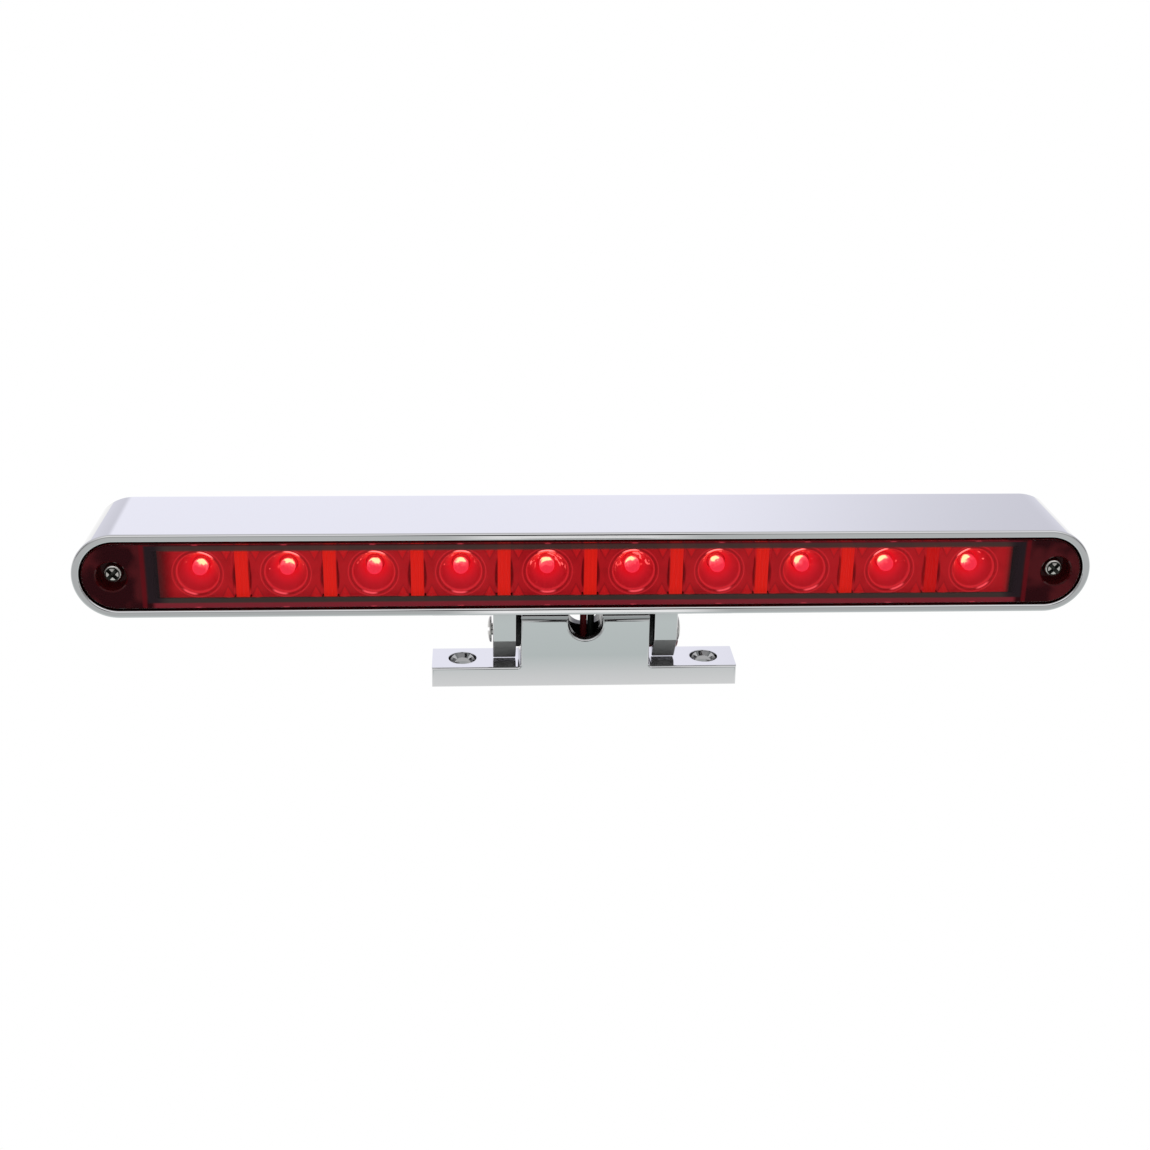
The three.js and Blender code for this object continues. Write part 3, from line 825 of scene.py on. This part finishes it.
def make_lens():
    edge = 0.4
    inner_r = LENS_R - LENS_WALL
    face_back = LENS_FACE_Y + LENS_FACE
    well_floor = SCREW_HEAD_Y + SCREW_HEAD + 0.3
    profile = arc(LENS_R - edge, LENS_FACE_Y + edge, edge, -90, 0, 6)
    profile += [(LENS_R, LENS_END_Y), (inner_r, LENS_END_Y), (inner_r, face_back)]
    lens = stadium("lens_cover", profile, "lens_red")
    inner = face_back - 0.4
    walls = [
        block(
            "wall",
            (LIGHT_X + side * CHAMBER_WALL_X - 0.5, inner, LAMP_Z - inner_r - 0.2),
            (LIGHT_X + side * CHAMBER_WALL_X + 0.5, LENS_END_Y - 0.7, LAMP_Z + inner_r + 0.2),
        )
        for side, _ in SIDES
    ]
    boss_r = 5.2
    joined(lens, merged(*walls, at_screws("boss", [(boss_r, inner), (boss_r, LENS_END_Y)], 64)))
    mouth = [(WELL_R, well_floor), (WELL_R, LENS_FACE_Y + 0.3)]
    mouth += [(WELL_R + 0.3, LENS_FACE_Y), (WELL_R + 0.3, LENS_FACE_Y - 1)]
    holes = at_screws("hole", [(SCREW_CLEAR_R, well_floor - 1), (SCREW_CLEAR_R, LENS_END_Y + 1)])
    without(lens, at_screws("well", mouth, 64), holes)

    def on_edge(centre, _):
        in_well = screw_distance(centre) < WELL_R + 0.35 and centre.y < well_floor + 0.1
        return in_well or end_distance(centre) > LENS_R - 0.2

    repaint(lens, "lens_edge", on_edge)
    repaint(lens, "lens_front", lambda centre, normal: normal.y < -0.99 and centre.y < LENS_FACE_Y + 0.01)
    place(lens, "lamp", "lens_red", "lens")


def bar_section(x):
    """A fluted bar: three shallow rounds side by side, as an outline of (x, y)."""
    half = BAR_WIDTH / 2
    flute = BAR_WIDTH / 6
    points = [(x - half, TILE_Y + 1), (x + half, TILE_Y + 1), (x + half, TILE_Y - 0.1)]
    for middle in (2 * flute, 0, -2 * flute):
        points += arc(x + middle, TILE_Y - 0.1, flute, 0, -180, 8)[1:]
    return [(a, max(b, TILE_Y - 0.1 + 0.35 * (b - TILE_Y + 0.1))) for a, b in points]


def corner_wedge(x, side):
    """A small triangular facet between a bowl's rim and a bar, widest at the strip's edge."""
    edge = LAMP_Z + side * TILE_HALF_HEIGHT
    apex = edge - side * 2.3
    base = [(x - 1, TILE_Y + 0.5, edge), (x + 1, TILE_Y + 0.5, edge), (x, TILE_Y + 0.5, apex)]
    ridge = [(x - 1, TILE_Y, edge), (x + 1, TILE_Y, edge), (x, TILE_Y, apex)]
    crest = [(x - 0.02, TILE_Y - 0.3, edge), (x + 0.02, TILE_Y - 0.3, edge), (x, TILE_Y - 0.01, apex)]
    return loft("wedge", [base, ridge, crest])


def make_reflector():
    strip = block(
        "reflector_strip",
        (LIGHT_X - TILE_HALF_LENGTH, TILE_Y, LAMP_Z - TILE_HALF_HEIGHT),
        (LIGHT_X + TILE_HALF_LENGTH, TILE_BACK_Y, LAMP_Z + TILE_HALF_HEIGHT),
        "reflector_mirror",
    )
    bars = []
    grooves = []
    wedges = []
    for index in range(LED_COUNT - 1):
        x = led_x(index) + LED_PITCH / 2
        ends = (LAMP_Z - 5.8, LAMP_Z + 5.8)
        bars.append(loft("bar", [[(a, b, z) for a, b in bar_section(x)] for z in ends]))
        for side in (-1, 1):
            low, high = sorted((x + side * (BAR_WIDTH / 2 + 0.55), x + side * (BAR_WIDTH / 2 + 0.05)))
            grooves.append(block("groove", (low, TILE_Y - 1, LAMP_Z - 7), (high, TILE_Y + 1.6, LAMP_Z + 7)))
            wedges += [corner_wedge(x + side * 3.3, level) for level in (-1, 1)]
    joined(strip, merged(*bars), merged(*wedges))
    depth = TILE_BACK_Y - TILE_Y - 0.35
    bowl = [(0, TILE_Y - 1), (BOWL_RIM_R + 0.1, TILE_Y - 1), (BOWL_RIM_R + 0.1, TILE_Y)]
    bowl += [(BOWL_RIM_R, TILE_Y + 0.12), (BOWL_RIM_R, TILE_Y + 0.3), (BOWL_RING_R + 0.12, TILE_Y + 0.3)]
    steps = 16
    for step in range(steps + 1):
        radius = BOWL_RING_R + (BOWL_BACK_R - BOWL_RING_R) * step / steps
        share = (BOWL_RING_R**2 - radius**2) / (BOWL_RING_R**2 - BOWL_BACK_R**2)
        bowl.append((radius, TILE_Y + 0.36 + depth * share))
    bowl += [(BOWL_BACK_R, TILE_BACK_Y + 1), (0, TILE_BACK_Y + 1)]
    centres = [(led_x(index), 0, LAMP_Z) for index in range(LED_COUNT)]
    bowls = [turned("bowl", bowl, centre, "Y", segments=64) for centre in centres]
    without(strip, merged(*bowls), merged(*grooves))
    place(strip, "lamp", "reflector_mirror", "reflector")


def make_leds():
    shoulder = LED_TIP_Y + LED_R
    profile = [(0, LED_TIP_Y)]
    for step in range(1, 8):
        angle = 0.2 * step
        profile.append((LED_R * math.sin(angle), shoulder - LED_R * math.cos(angle)))
    profile += [(LED_R, shoulder), (LED_R, LED_SEAT_Y - 1.9), (LED_FLANGE_R, LED_SEAT_Y - 1.6)]
    profile += [(LED_FLANGE_R, LED_SEAT_Y), (0, LED_SEAT_Y)]
    for index in range(LED_COUNT):
        number = two_digits(index)
        centre = (led_x(index), 0, LAMP_Z)
        bullet = turned(f"led_bullet_{number}", profile, centre, "Y", "led_emitter", 32)
        place(bullet, "lamp", "led_emitter", f"led_{number}")


# ---------- fasteners ----------


def make_lens_screws():
    """Pan heads with a cross recess, its arms on the diagonals."""
    head_y = SCREW_HEAD_Y
    profile = [(0, head_y)]
    for step in range(1, 9):
        angle = 0.194 * step
        profile.append((SCREW_HEAD_R * math.sin(angle) ** 0.8, head_y + 0.75 * (1 - math.cos(angle))))
    profile += [(SCREW_HEAD_R, head_y + SCREW_HEAD), (SCREW_SHANK_R, head_y + SCREW_HEAD)]
    profile += [(SCREW_SHANK_R, SCREW_TIP_Y - 1.5), (0, SCREW_TIP_Y)]
    arm_sections = ((1.65, 0.5, head_y - 0.5), (1.6, 0.46, head_y + 0.2), (0.7, 0.26, head_y + 1.2))

    def in_recess(middle, _):
        return screw_distance(middle) < 1.75 and head_y + 0.12 < middle.y < head_y + 1.3

    for side, name in SIDES:
        centre = Vector(screw_centre(side))
        screw = turned(f"lens_screw_detail_{name}", profile, centre, "Y", "steel", 64)
        arms = []
        for quarter in (45, 135):
            turn = Matrix.Rotation(math.radians(quarter), 3, "Y")
            rings = []
            for half_long, half_wide, y in arm_sections:
                corners = [(-half_long, y, -half_wide), (half_long, y, -half_wide)]
                corners += [(half_long, y, half_wide), (-half_long, y, half_wide)]
                rings.append([centre + turn @ Vector(corner) for corner in corners])
            arms.append(loft("arm", rings))
        without(screw, *arms)
        # Painted shade: the cross recess is made near black.
        repaint(screw, "recess_shade", in_recess)
        place(screw, "lamp", "steel", f"lens_screw_{name}", sharp=30)


def make_pivot_screws():
    """Low pan heads with a driver slot, which lies along the view on the left and upright on the right."""
    seat = LUG_INNER + LUG_WIDTH + 0.3
    head_r = PIVOT_HEAD_R
    profile = [(0, 9.5), (1.1, 9.5), (1.5, 10.0), (1.5, seat), (head_r - 0.1, seat), (head_r, seat + 0.1)]
    for step in range(9):
        angle = 0.1 + 0.17 * step
        profile.append((head_r * math.cos(angle), seat + 0.2 + (PIVOT_HEAD - 0.2) * math.sin(angle)))
    profile += [(0, seat + PIVOT_HEAD)]
    for side, name in SIDES:
        mirrored = [(radius, side * height) for radius, height in profile]
        screw = turned(f"pivot_screw_detail_{name}", mirrored, PIVOT_CENTRE, "X", "pivot_steel", 64)
        low, high = sorted((side * (seat + PIVOT_HEAD - 0.5), side * (seat + 3)))
        angle = math.radians(SLOT_LEAN[name])
        along = Vector((0, math.cos(angle), math.sin(angle))) * 5
        across = Vector((0, -math.sin(angle), math.cos(angle))) * PIVOT_SLOT / 2
        rings = []
        for x in (low, high):
            centre = Vector((x, 0, PIVOT_Z))
            rings.append([centre + along + across, centre - along + across])
            rings[-1] += [centre - along - across, centre + along - across]
        groove = loft("groove", rings)
        without(screw, groove)
        place(screw, "base", "steel", f"pivot_screw_{name}", sharp=30)


def make_washers():
    """Washers that fill a little more of the gaps than the CAD's do, as squeezed rubber would."""
    inner, outer = PIVOT_BORE_R, WASHER_R
    low, high = BLOCK_HALF + WASHER_GAP, LUG_INNER - WASHER_GAP
    edge = 0.08
    for side, name in SIDES:
        profile = [(inner, low), (outer - edge, low), (outer, low + edge), (outer, high - edge)]
        profile += [(outer - edge, high), (inner, high)]
        mirrored = [(radius, side * height) for radius, height in profile]
        washer = turned(f"washer_detail_{name}", mirrored, PIVOT_CENTRE, "X", "rubber", 64)
        bore = rod("bore", inner, *sorted((side * (low - 1), side * (high + 1))), PIVOT_CENTRE, "X")
        without(washer, bore)
        place(washer, "base", "rubber", f"washer_{name}")


# ---------- base ----------


def bracket_outline():
    """The bracket from the front: plate, block and the notch in the block's top, anticlockwise."""
    corner = 0.8
    half = PLATE_LENGTH / 2
    notch_z = NOTCH_BOTTOM + NOTCH_R
    outline = [(-half, 0), (half, 0), (half, PLATE_TOP)]
    outline += arc(BLOCK_HALF + corner, PLATE_TOP + corner, corner, -90, -180, 6)
    outline += arc(BLOCK_HALF - corner, BLOCK_TOP - corner, corner, 0, 90, 6)
    outline += [(NOTCH_R, BLOCK_TOP)]
    outline += arc(0, notch_z, NOTCH_R, 0, -180, 32)
    outline += [(-NOTCH_R, BLOCK_TOP)]
    outline += arc(-BLOCK_HALF + corner, BLOCK_TOP - corner, corner, 90, 180, 6)
    outline += arc(-BLOCK_HALF - corner, PLATE_TOP + corner, corner, 0, -90, 6)
    outline += [(-half, PLATE_TOP)]
    return outline


def make_bracket():
    half_depth = PLATE_DEPTH / 2
    bracket = extruded(
        "base_casting", bracket_outline(), -half_depth, half_depth, 0.6, lambda x, z, y: (x, y, z), "chrome"
    )
    side = [(-half_depth, 0), (half_depth, 0)]
    side += arc(half_depth - BLOCK_ROUND, BLOCK_TOP - BLOCK_ROUND, BLOCK_ROUND, 0, 90, 12)
    side += arc(-half_depth + BLOCK_ROUND, BLOCK_TOP - BLOCK_ROUND, BLOCK_ROUND, 90, 180, 12)
    reach = PLATE_LENGTH / 2 + 1
    rounded = loft("round", [[(x, y, z) for y, z in side] for x in (-reach, reach)])
    shared(bracket, rounded)
    mouth = 3.4
    hole = [(2.1, -1), (2.1, 1.4), (mouth, 2.7), (mouth, PLATE_TOP - 0.3)]
    hole += [(mouth + 0.09, PLATE_TOP - 0.09), (mouth + 0.3, PLATE_TOP), (mouth + 0.3, PLATE_TOP + 1)]
    holes = [turned("hole", hole, (hand * HOLE_X, 0, 0), "Z", segments=64) for hand, _ in SIDES]
    wire_hole = rod("wire_hole", WIRE_HOLE_R, -1, BLOCK_TOP + 1, (0, WIRE_HOLE_Y, 0), "Z", 64)
    channel = block(
        "channel",
        (EXIT_X - CHANNEL_WIDTH / 2, 0, -1),
        (EXIT_X + CHANNEL_WIDTH / 2, half_depth + 1, CHANNEL_TOP),
    )
    without(bracket, merged(*holes), wire_hole, channel, pivot_bores(BORE_FLOOR_X, BLOCK_HALF + 1))

    def in_wire_way(centre, _):
        in_notch = abs(centre.x) < NOTCH_R + 0.1 and abs(centre.y) < half_depth - 0.5
        in_hole = math.hypot(centre.x, centre.y - WIRE_HOLE_Y) < WIRE_HOLE_R + 0.1
        by_notch = in_notch and NOTCH_BOTTOM - 0.2 < centre.z < BLOCK_TOP - 0.1
        return by_notch or (in_hole and centre.z < NOTCH_BOTTOM + 1)

    # Painted shade: the notch and the wire hole are made near black for the shade inside them.
    repaint(bracket, "wire_way_shade", in_wire_way)
    place(bracket, "base", "chrome", "base_bracket")


# ---------- leads ----------

# Each lead goes from the board's back through the grommet, down through the base, out at its back and on to
# its coil. The points below the grommet are those of the part's source, which ends a little before the coil.
FLOOR_Z = 0.88
DOWN_AND_BACK = [
    (-1.65, 30.15), (-1.65, 28.65), (-1.3, 27.15), (-0.6, 25.65), (-0.25, 24.15),
    (-0.25, 21.5), (-0.25, 17), (-0.25, 12.5), (-0.25, 8.5), (-0.25, 4.8),
    (0.05, 3.3), (0.9, 2), (2.2, 1.15), (3.75, FLOOR_Z), (6.5, FLOOR_Z),
]
RED_TO_COIL = [
    (0.05, 8.5), (0.75, 10.45), (1.85, 12.2), (3.35, 13.6),
    (4.45, 14.65), (5.3, 15.8), (6.02, 17.26), (6.38, 18.61),
]
BLACK_TO_COIL = [
    (1.8, 8.1), (2.38, 9.6), (3.25, 10.95), (4.5, 12.1), (5.25, 12.75),
    (6.05, 13.6), (7.07, 15.05), (7.8, 16.61), (8.25, 18.28),
]
RED_X = -0.2
BLACK_X = 1.6
RED_ROUTE = [(RED_X, y, z) for y, z in DOWN_AND_BACK] + [(x, y, FLOOR_Z) for x, y in RED_TO_COIL]
BLACK_ROUTE = [(BLACK_X, y, z) for y, z in DOWN_AND_BACK] + [(x, y, FLOOR_Z) for x, y in BLACK_TO_COIL]
RED_TURNS = 3.25
BLACK_TURNS = 3.95
RED_COIL_R = 9.4
BLACK_COIL_R = 7.5
LAYER = 1.72  # height from one turn of a coil to the next
BARE_TIP = 6.0


def coil_turns(radius, turns):
    """Turns on top of each other, clockwise from above; each climbs to the next near its end."""
    points = []
    per_turn = 36
    for step in range(int(round(turns * per_turn)) + 1):
        progress = step / per_turn
        layer = int(progress)
        climb = min(1, max(0, (progress - layer - 0.68) / 0.2))
        if layer + 1 >= turns:
            climb = 0
        angle = math.pi - 2 * math.pi * progress
        height = LEAD_R + LAYER * (layer + climb * climb * (3 - 2 * climb))
        points.append((COIL_X + radius * math.cos(angle), COIL_Y + radius * math.sin(angle), height))
    return points


def smooth_path(points, spacing):
    """Points along the centripetal Catmull-Rom curve through the given ones, about spacing apart."""
    path = [Vector(point) for point in points]
    ends = [2 * path[0] - path[1], *path, 2 * path[-1] - path[-2]]
    result = []
    for a, b, c, d in zip(ends, ends[1:], ends[2:], ends[3:]):
        t1 = (b - a).length ** 0.5
        t2 = t1 + (c - b).length ** 0.5
        t3 = t2 + (d - c).length ** 0.5
        steps = max(1, round((c - b).length / spacing))
        for step in range(steps):
            t = t1 + (t2 - t1) * step / steps
            ab = a.lerp(b, t / t1)
            bc = b.lerp(c, (t - t1) / (t2 - t1))
            cd = c.lerp(d, (t - t2) / (t3 - t2))
            abc = ab.lerp(bc, t / t2)
            bcd = bc.lerp(cd, (t - t1) / (t3 - t1))
            result.append(abc.lerp(bcd, (t - t1) / (t2 - t1)))
    return result + [path[-1]]


def tube(name, path, radii, material, sides=14):
    """A tube along a path, with a radius for each of its points."""
    neighbours = zip([path[0], *path], [*path[1:], path[-1]])
    ahead = [(after - before).normalized() for before, after in neighbours]
    side = ahead[0].orthogonal().normalized()
    rings = []
    for point, direction, radius in zip(path, ahead, radii):
        side = (side - direction * side.dot(direction)).normalized()
        other = direction.cross(side)
        ring = []
        for step in range(sides):
            angle = 2 * math.pi * step / sides
            ring.append(point + (side * math.cos(angle) + other * math.sin(angle)) * radius)
        rings.append(ring)
    return loft(name, rings, material)


def path_length(path):
    return sum((b - a).length for a, b in zip(path, path[1:]))


def make_lead(colour, route, turns, coil_radius):
    """One insulated lead as a single tube, from the board to its stripped end in the coil."""
    path = smooth_path([*route, *coil_turns(coil_radius, turns)], 0.9)
    lead = tube(f"{colour}_wire", path, [LEAD_R] * len(path), f"lead_{colour}")
    lead.data.shade_smooth()
    lead.data.set_sharp_from_angle(angle=math.radians(50))
    heading = (path[-1] - path[-2]).normalized()
    twist = []
    radii = []
    pieces = 24
    for step in range(pieces + 1):
        along = BARE_TIP * step / pieces
        twist.append(path[-1] + heading * (along - 0.6))
        radii.append(0.42 + 0.03 * math.sin(2 * math.pi * step / 4))
    tip = tube(f"{colour}_wire_tip", twist, radii, "copper", 12)
    tip.data.shade_smooth()
    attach(tip, "base")
    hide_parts(f"lead_{colour}", f"lead_{colour}_inside", f"lead_{colour}_coil")
    x, y, _ = route[5]
    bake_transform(lead)
    round(path_length(path) * MM, 3)


def make_tie():
    """A small cable tie round both coils, on the side away from the lamp."""
    low, high = 0.02, 7.3
    inner, outer = BLACK_COIL_R - 1.15, RED_COIL_R + 1.15
    corner = 1.3
    band = 0.3
    loops = []
    for shift in (0, band):
        a, b = inner + shift, outer - shift
        c, d = low + shift, high - shift
        r = corner - shift
        loop = arc(a + r, c + r, r, 180, 270, 6) + arc(b - r, c + r, r, 270, 360, 6)
        loop += arc(b - r, d - r, r, 0, 90, 6) + arc(a + r, d - r, r, 90, 180, 6)
        loops.append(loop)
    angle = math.radians(140)
    out = Vector((math.cos(angle), math.sin(angle), 0))
    along = Vector((-math.sin(angle), math.cos(angle), 0))
    middle = Vector((COIL_X, COIL_Y, 0))
    half = 1.2

    def put(loop, shift):
        return [middle + out * a + Vector((0, 0, b)) + along * shift for a, b in loop]

    strap = loft("coil_tie", [put(loops[0], -half), put(loops[0], half)], "tie")
    core = loft("core", [put(loops[1], -half - 1), put(loops[1], half + 1)])
    without(strap, core)
    head_loop = [(outer - 0.2, 2.2), (outer + 1.6, 2.4), (outer + 1.6, 4.8), (outer - 0.2, 5.0)]
    head = loft("head", [put(head_loop, -half - 0.3), put(head_loop, half + 0.3)])
    tail_loop = [(outer + 0.3, 4.6), (outer + 0.6, 4.6), (outer + 1.0, 8.2), (outer + 0.7, 8.2)]
    tail = loft("tail", [put(tail_loop, -half + 0.15), put(tail_loop, half - 0.15)])
    joined(strap, head, tail)
    modifier = strap.modifiers.new("edge", "BEVEL")
    modifier.width = 0.08 * MM
    modifier.segments = 2
    modifier.angle_limit = math.radians(40)
    apply_modifiers(strap)
    return place(strap, "base", "lead_black")


def make_grommet():
    top = LAMP_Z - POCKET_R - 0.1
    edge = 0.15
    centre = (EXIT_X, LEAD_Y, 0)
    profile = [(0, GROMMET_BOTTOM), (GROMMET_FLANGE_R - edge, GROMMET_BOTTOM)]
    profile += [(GROMMET_FLANGE_R, GROMMET_BOTTOM + edge), (GROMMET_FLANGE_R, GROMMET_BOTTOM + 0.5)]
    profile += [(GROMMET_BODY_R, GROMMET_BOTTOM + 0.5), (GROMMET_BODY_R, top), (0, top)]
    bush = turned("grommet_bush", profile, centre, "Z", "rubber")
    half = (BLACK_X - RED_X) / 2
    slot_r = LEAD_R + 0.12
    outline = arc(EXIT_X + half, LEAD_Y, slot_r, -90, 90, 12)
    outline += arc(EXIT_X - half, LEAD_Y, slot_r, 90, 270, 12)
    cutter = loft("slot", [[(x, y, z) for x, y in outline] for z in (GROMMET_BOTTOM - 1, top + 1)])
    without(bush, cutter)
    place(bush, "lamp", "rubber", "lead_grommet")


# ---------- carried-over CAD nodes ----------


def give_materials():
    """The CAD nodes whose shape is already right get their slot's material."""
    slots = {part["node"]: part["material_slot"] for part in frame["record"]["subparts"]}
    for name, node in frame["nodes"].items():
        node.data.materials.clear()
        node.data.materials.append(MATERIALS[slots[name]])


# ---------- studio ----------

# Shares of white. Above 1, a light is brighter than the white that the camera sees.
CAMERA_SHADE = (0.02, 0.02, 0.02)
WHITE = (1, 1, 1)
FLOOR_SIZE = 8.0
FLOOR_GRADE_START, FLOOR_GRADE_END = -0.25, 0.05
FLOOR_GRADE = [
    (0.0, (0.55, 0.56, 0.56)),
    (0.4, (0.72, 0.74, 0.74)),
    (0.6, (0.66, 0.68, 0.68)),
    (0.68, (0.8, 0.87, 0.86)),
    (0.75, (0.76, 0.83, 0.82)),
    (0.79, (0.98, 1.0, 1.0)),
    (0.83, (1.15, 1.15, 1.15)),
]
POOLS = ((0.07, 0.002, 1.35), (0.127, 0.0035, 1.2))  # metres in front, half depth and light of each

BEHIND = (0.92, 0.92, 1.03)
SIDES_AND_FRONT = (0.86, 0.86, 0.88)
BACK_LIGHT = (1.28, 1.28, 1.43)
OVERHEAD = (0.78, 0.78, 0.79)
LOW_FRONT = (0.52, 0.53, 0.53)
HIGH_FRONT_LIGHT = (1.35, 1.35, 1.36)
FLAG = (0.08, 0.08, 0.08)
STUDIO_TURN = 3.5  # degrees from the lamp's own front to the studio's


def make_floor():
    """A white floor. The chrome sees it greyer in front, with the camera's shade and two pools of light."""
    size = FLOOR_SIZE
    mesh = bpy.data.meshes.new("floor")
    corners = [(-size, -size), (size, -size), (size, size), (-size, size)]
    mesh.from_pydata([(x, y, -0.0002) for x, y in corners], [], [(0, 1, 2, 3)])
    floor = bpy.data.objects.new("floor", mesh)
    bpy.context.scene.collection.objects.link(floor)
    material, graph = new_material("floor")
    spot = graph.add("ShaderNodeSeparateXYZ", Vector=graph.place()).outputs
    grade = {"From_Min": FLOOR_GRADE_START, "From_Max": FLOOR_GRADE_END}
    span = graph.add("ShaderNodeMapRange", Value=spot["Y"], **grade)
    in_front = graph.ramp(span.outputs["Result"], FLOOR_GRADE)
    forward = graph.times(spot["Y"], -1.0)
    across = graph.size(graph.minus(spot["X"], graph.times(forward, 0.061)))
    beyond = graph.minus(across, graph.times(forward, 0.1))
    patch = graph.times(graph.step(forward, 0.0505, 0.054), graph.fall(beyond, 0.008, 0.014))
    in_front = graph.mix_colour(patch, in_front, CAMERA_SHADE)
    near_middle = graph.band(spot["X"], 0.004, 0.022, 0.02)
    for distance, half, light in POOLS:
        pool = graph.times(near_middle, graph.band(forward, distance, half, 0.001))
        in_front = graph.mix_colour(pool, in_front, (light, light, light))
    seen = graph.add("ShaderNodeLightPath").outputs["Is Camera Ray"]
    graph.show(graph.add("ShaderNodeEmission", Color=graph.mix_colour(seen, in_front, WHITE)))
    mesh.materials.append(material)


def make_world():
    """White all round: a broad soft light behind, one high in front, and the dark of the camera's place."""
    world = bpy.data.worlds.new("studio")
    world.use_nodes = True
    bpy.context.scene.world = world
    graph = Graph(world.node_tree)
    direction = graph.add("ShaderNodeTexCoord").outputs["Generated"]
    toward = graph.add("ShaderNodeSeparateXYZ", Vector=direction).outputs
    x, y, z = (toward[axis] for axis in range(3))
    elevation = graph.math("DEGREES", graph.math("ARCSINE", z))
    from_back = graph.math("DEGREES", graph.math("ARCTAN2", x, y))
    from_front = graph.math("DEGREES", graph.math("ARCTAN2", x, graph.times(y, -1)))
    behind = graph.size(graph.minus(from_back, STUDIO_TURN))
    ahead = graph.size(graph.minus(from_front, STUDIO_TURN))
    light_across = graph.times(graph.step(from_back, -18.0, -13.0), graph.fall(from_back, 6.0, 21.0))
    light_up = graph.times(graph.fall(elevation, 38.0, 60.0), graph.step(elevation, -8.0, 2.0))
    low_front = graph.times(graph.fall(ahead, 45.0, 90.0), graph.fall(elevation, 14.0, 30.0))
    high_front = graph.times(graph.fall(ahead, 35.0, 60.0), graph.band(elevation, 44.0, 10.0, 8.0))
    flag = graph.times(graph.band(ahead, 62.0, 7.0, 6.0), graph.band(elevation, 6.0, 18.0, 8.0))
    camera_place = graph.times(graph.fall(ahead, 4.0, 8.5), graph.band(elevation, -2.0, 28.0, 4.0))
    seen = graph.add("ShaderNodeLightPath").outputs["Is Camera Ray"]
    colour = graph.layers(
        BEHIND,
        (graph.step(behind, 40.0, 90.0), SIDES_AND_FRONT),
        (graph.times(light_across, light_up), BACK_LIGHT),
        (graph.step(elevation, 52.0, 70.0), OVERHEAD),
        (low_front, LOW_FRONT),
        (high_front, HIGH_FRONT_LIGHT),
        (flag, FLAG),
        (camera_place, CAMERA_SHADE),
        (seen, WHITE),
    )
    background = graph.add("ShaderNodeBackground", Color=colour)
    graph.add("ShaderNodeOutputWorld", Surface=background.outputs[0])


# ---------- assembly ----------

scene = bpy.context.scene
scene.view_settings.view_transform = "Standard"
scene.view_settings.look = "None"

make_camera()
coil_tie = make_tie()
make_lead("red", RED_ROUTE, RED_TURNS, RED_COIL_R)
make_lead("black", BLACK_ROUTE, BLACK_TURNS, BLACK_COIL_R)
give_materials()
make_housing()
make_lens()
make_reflector()
make_leds()
make_lens_screws()
make_pivot_screws()
make_washers()
make_bracket()
make_grommet()
make_floor()
make_world()
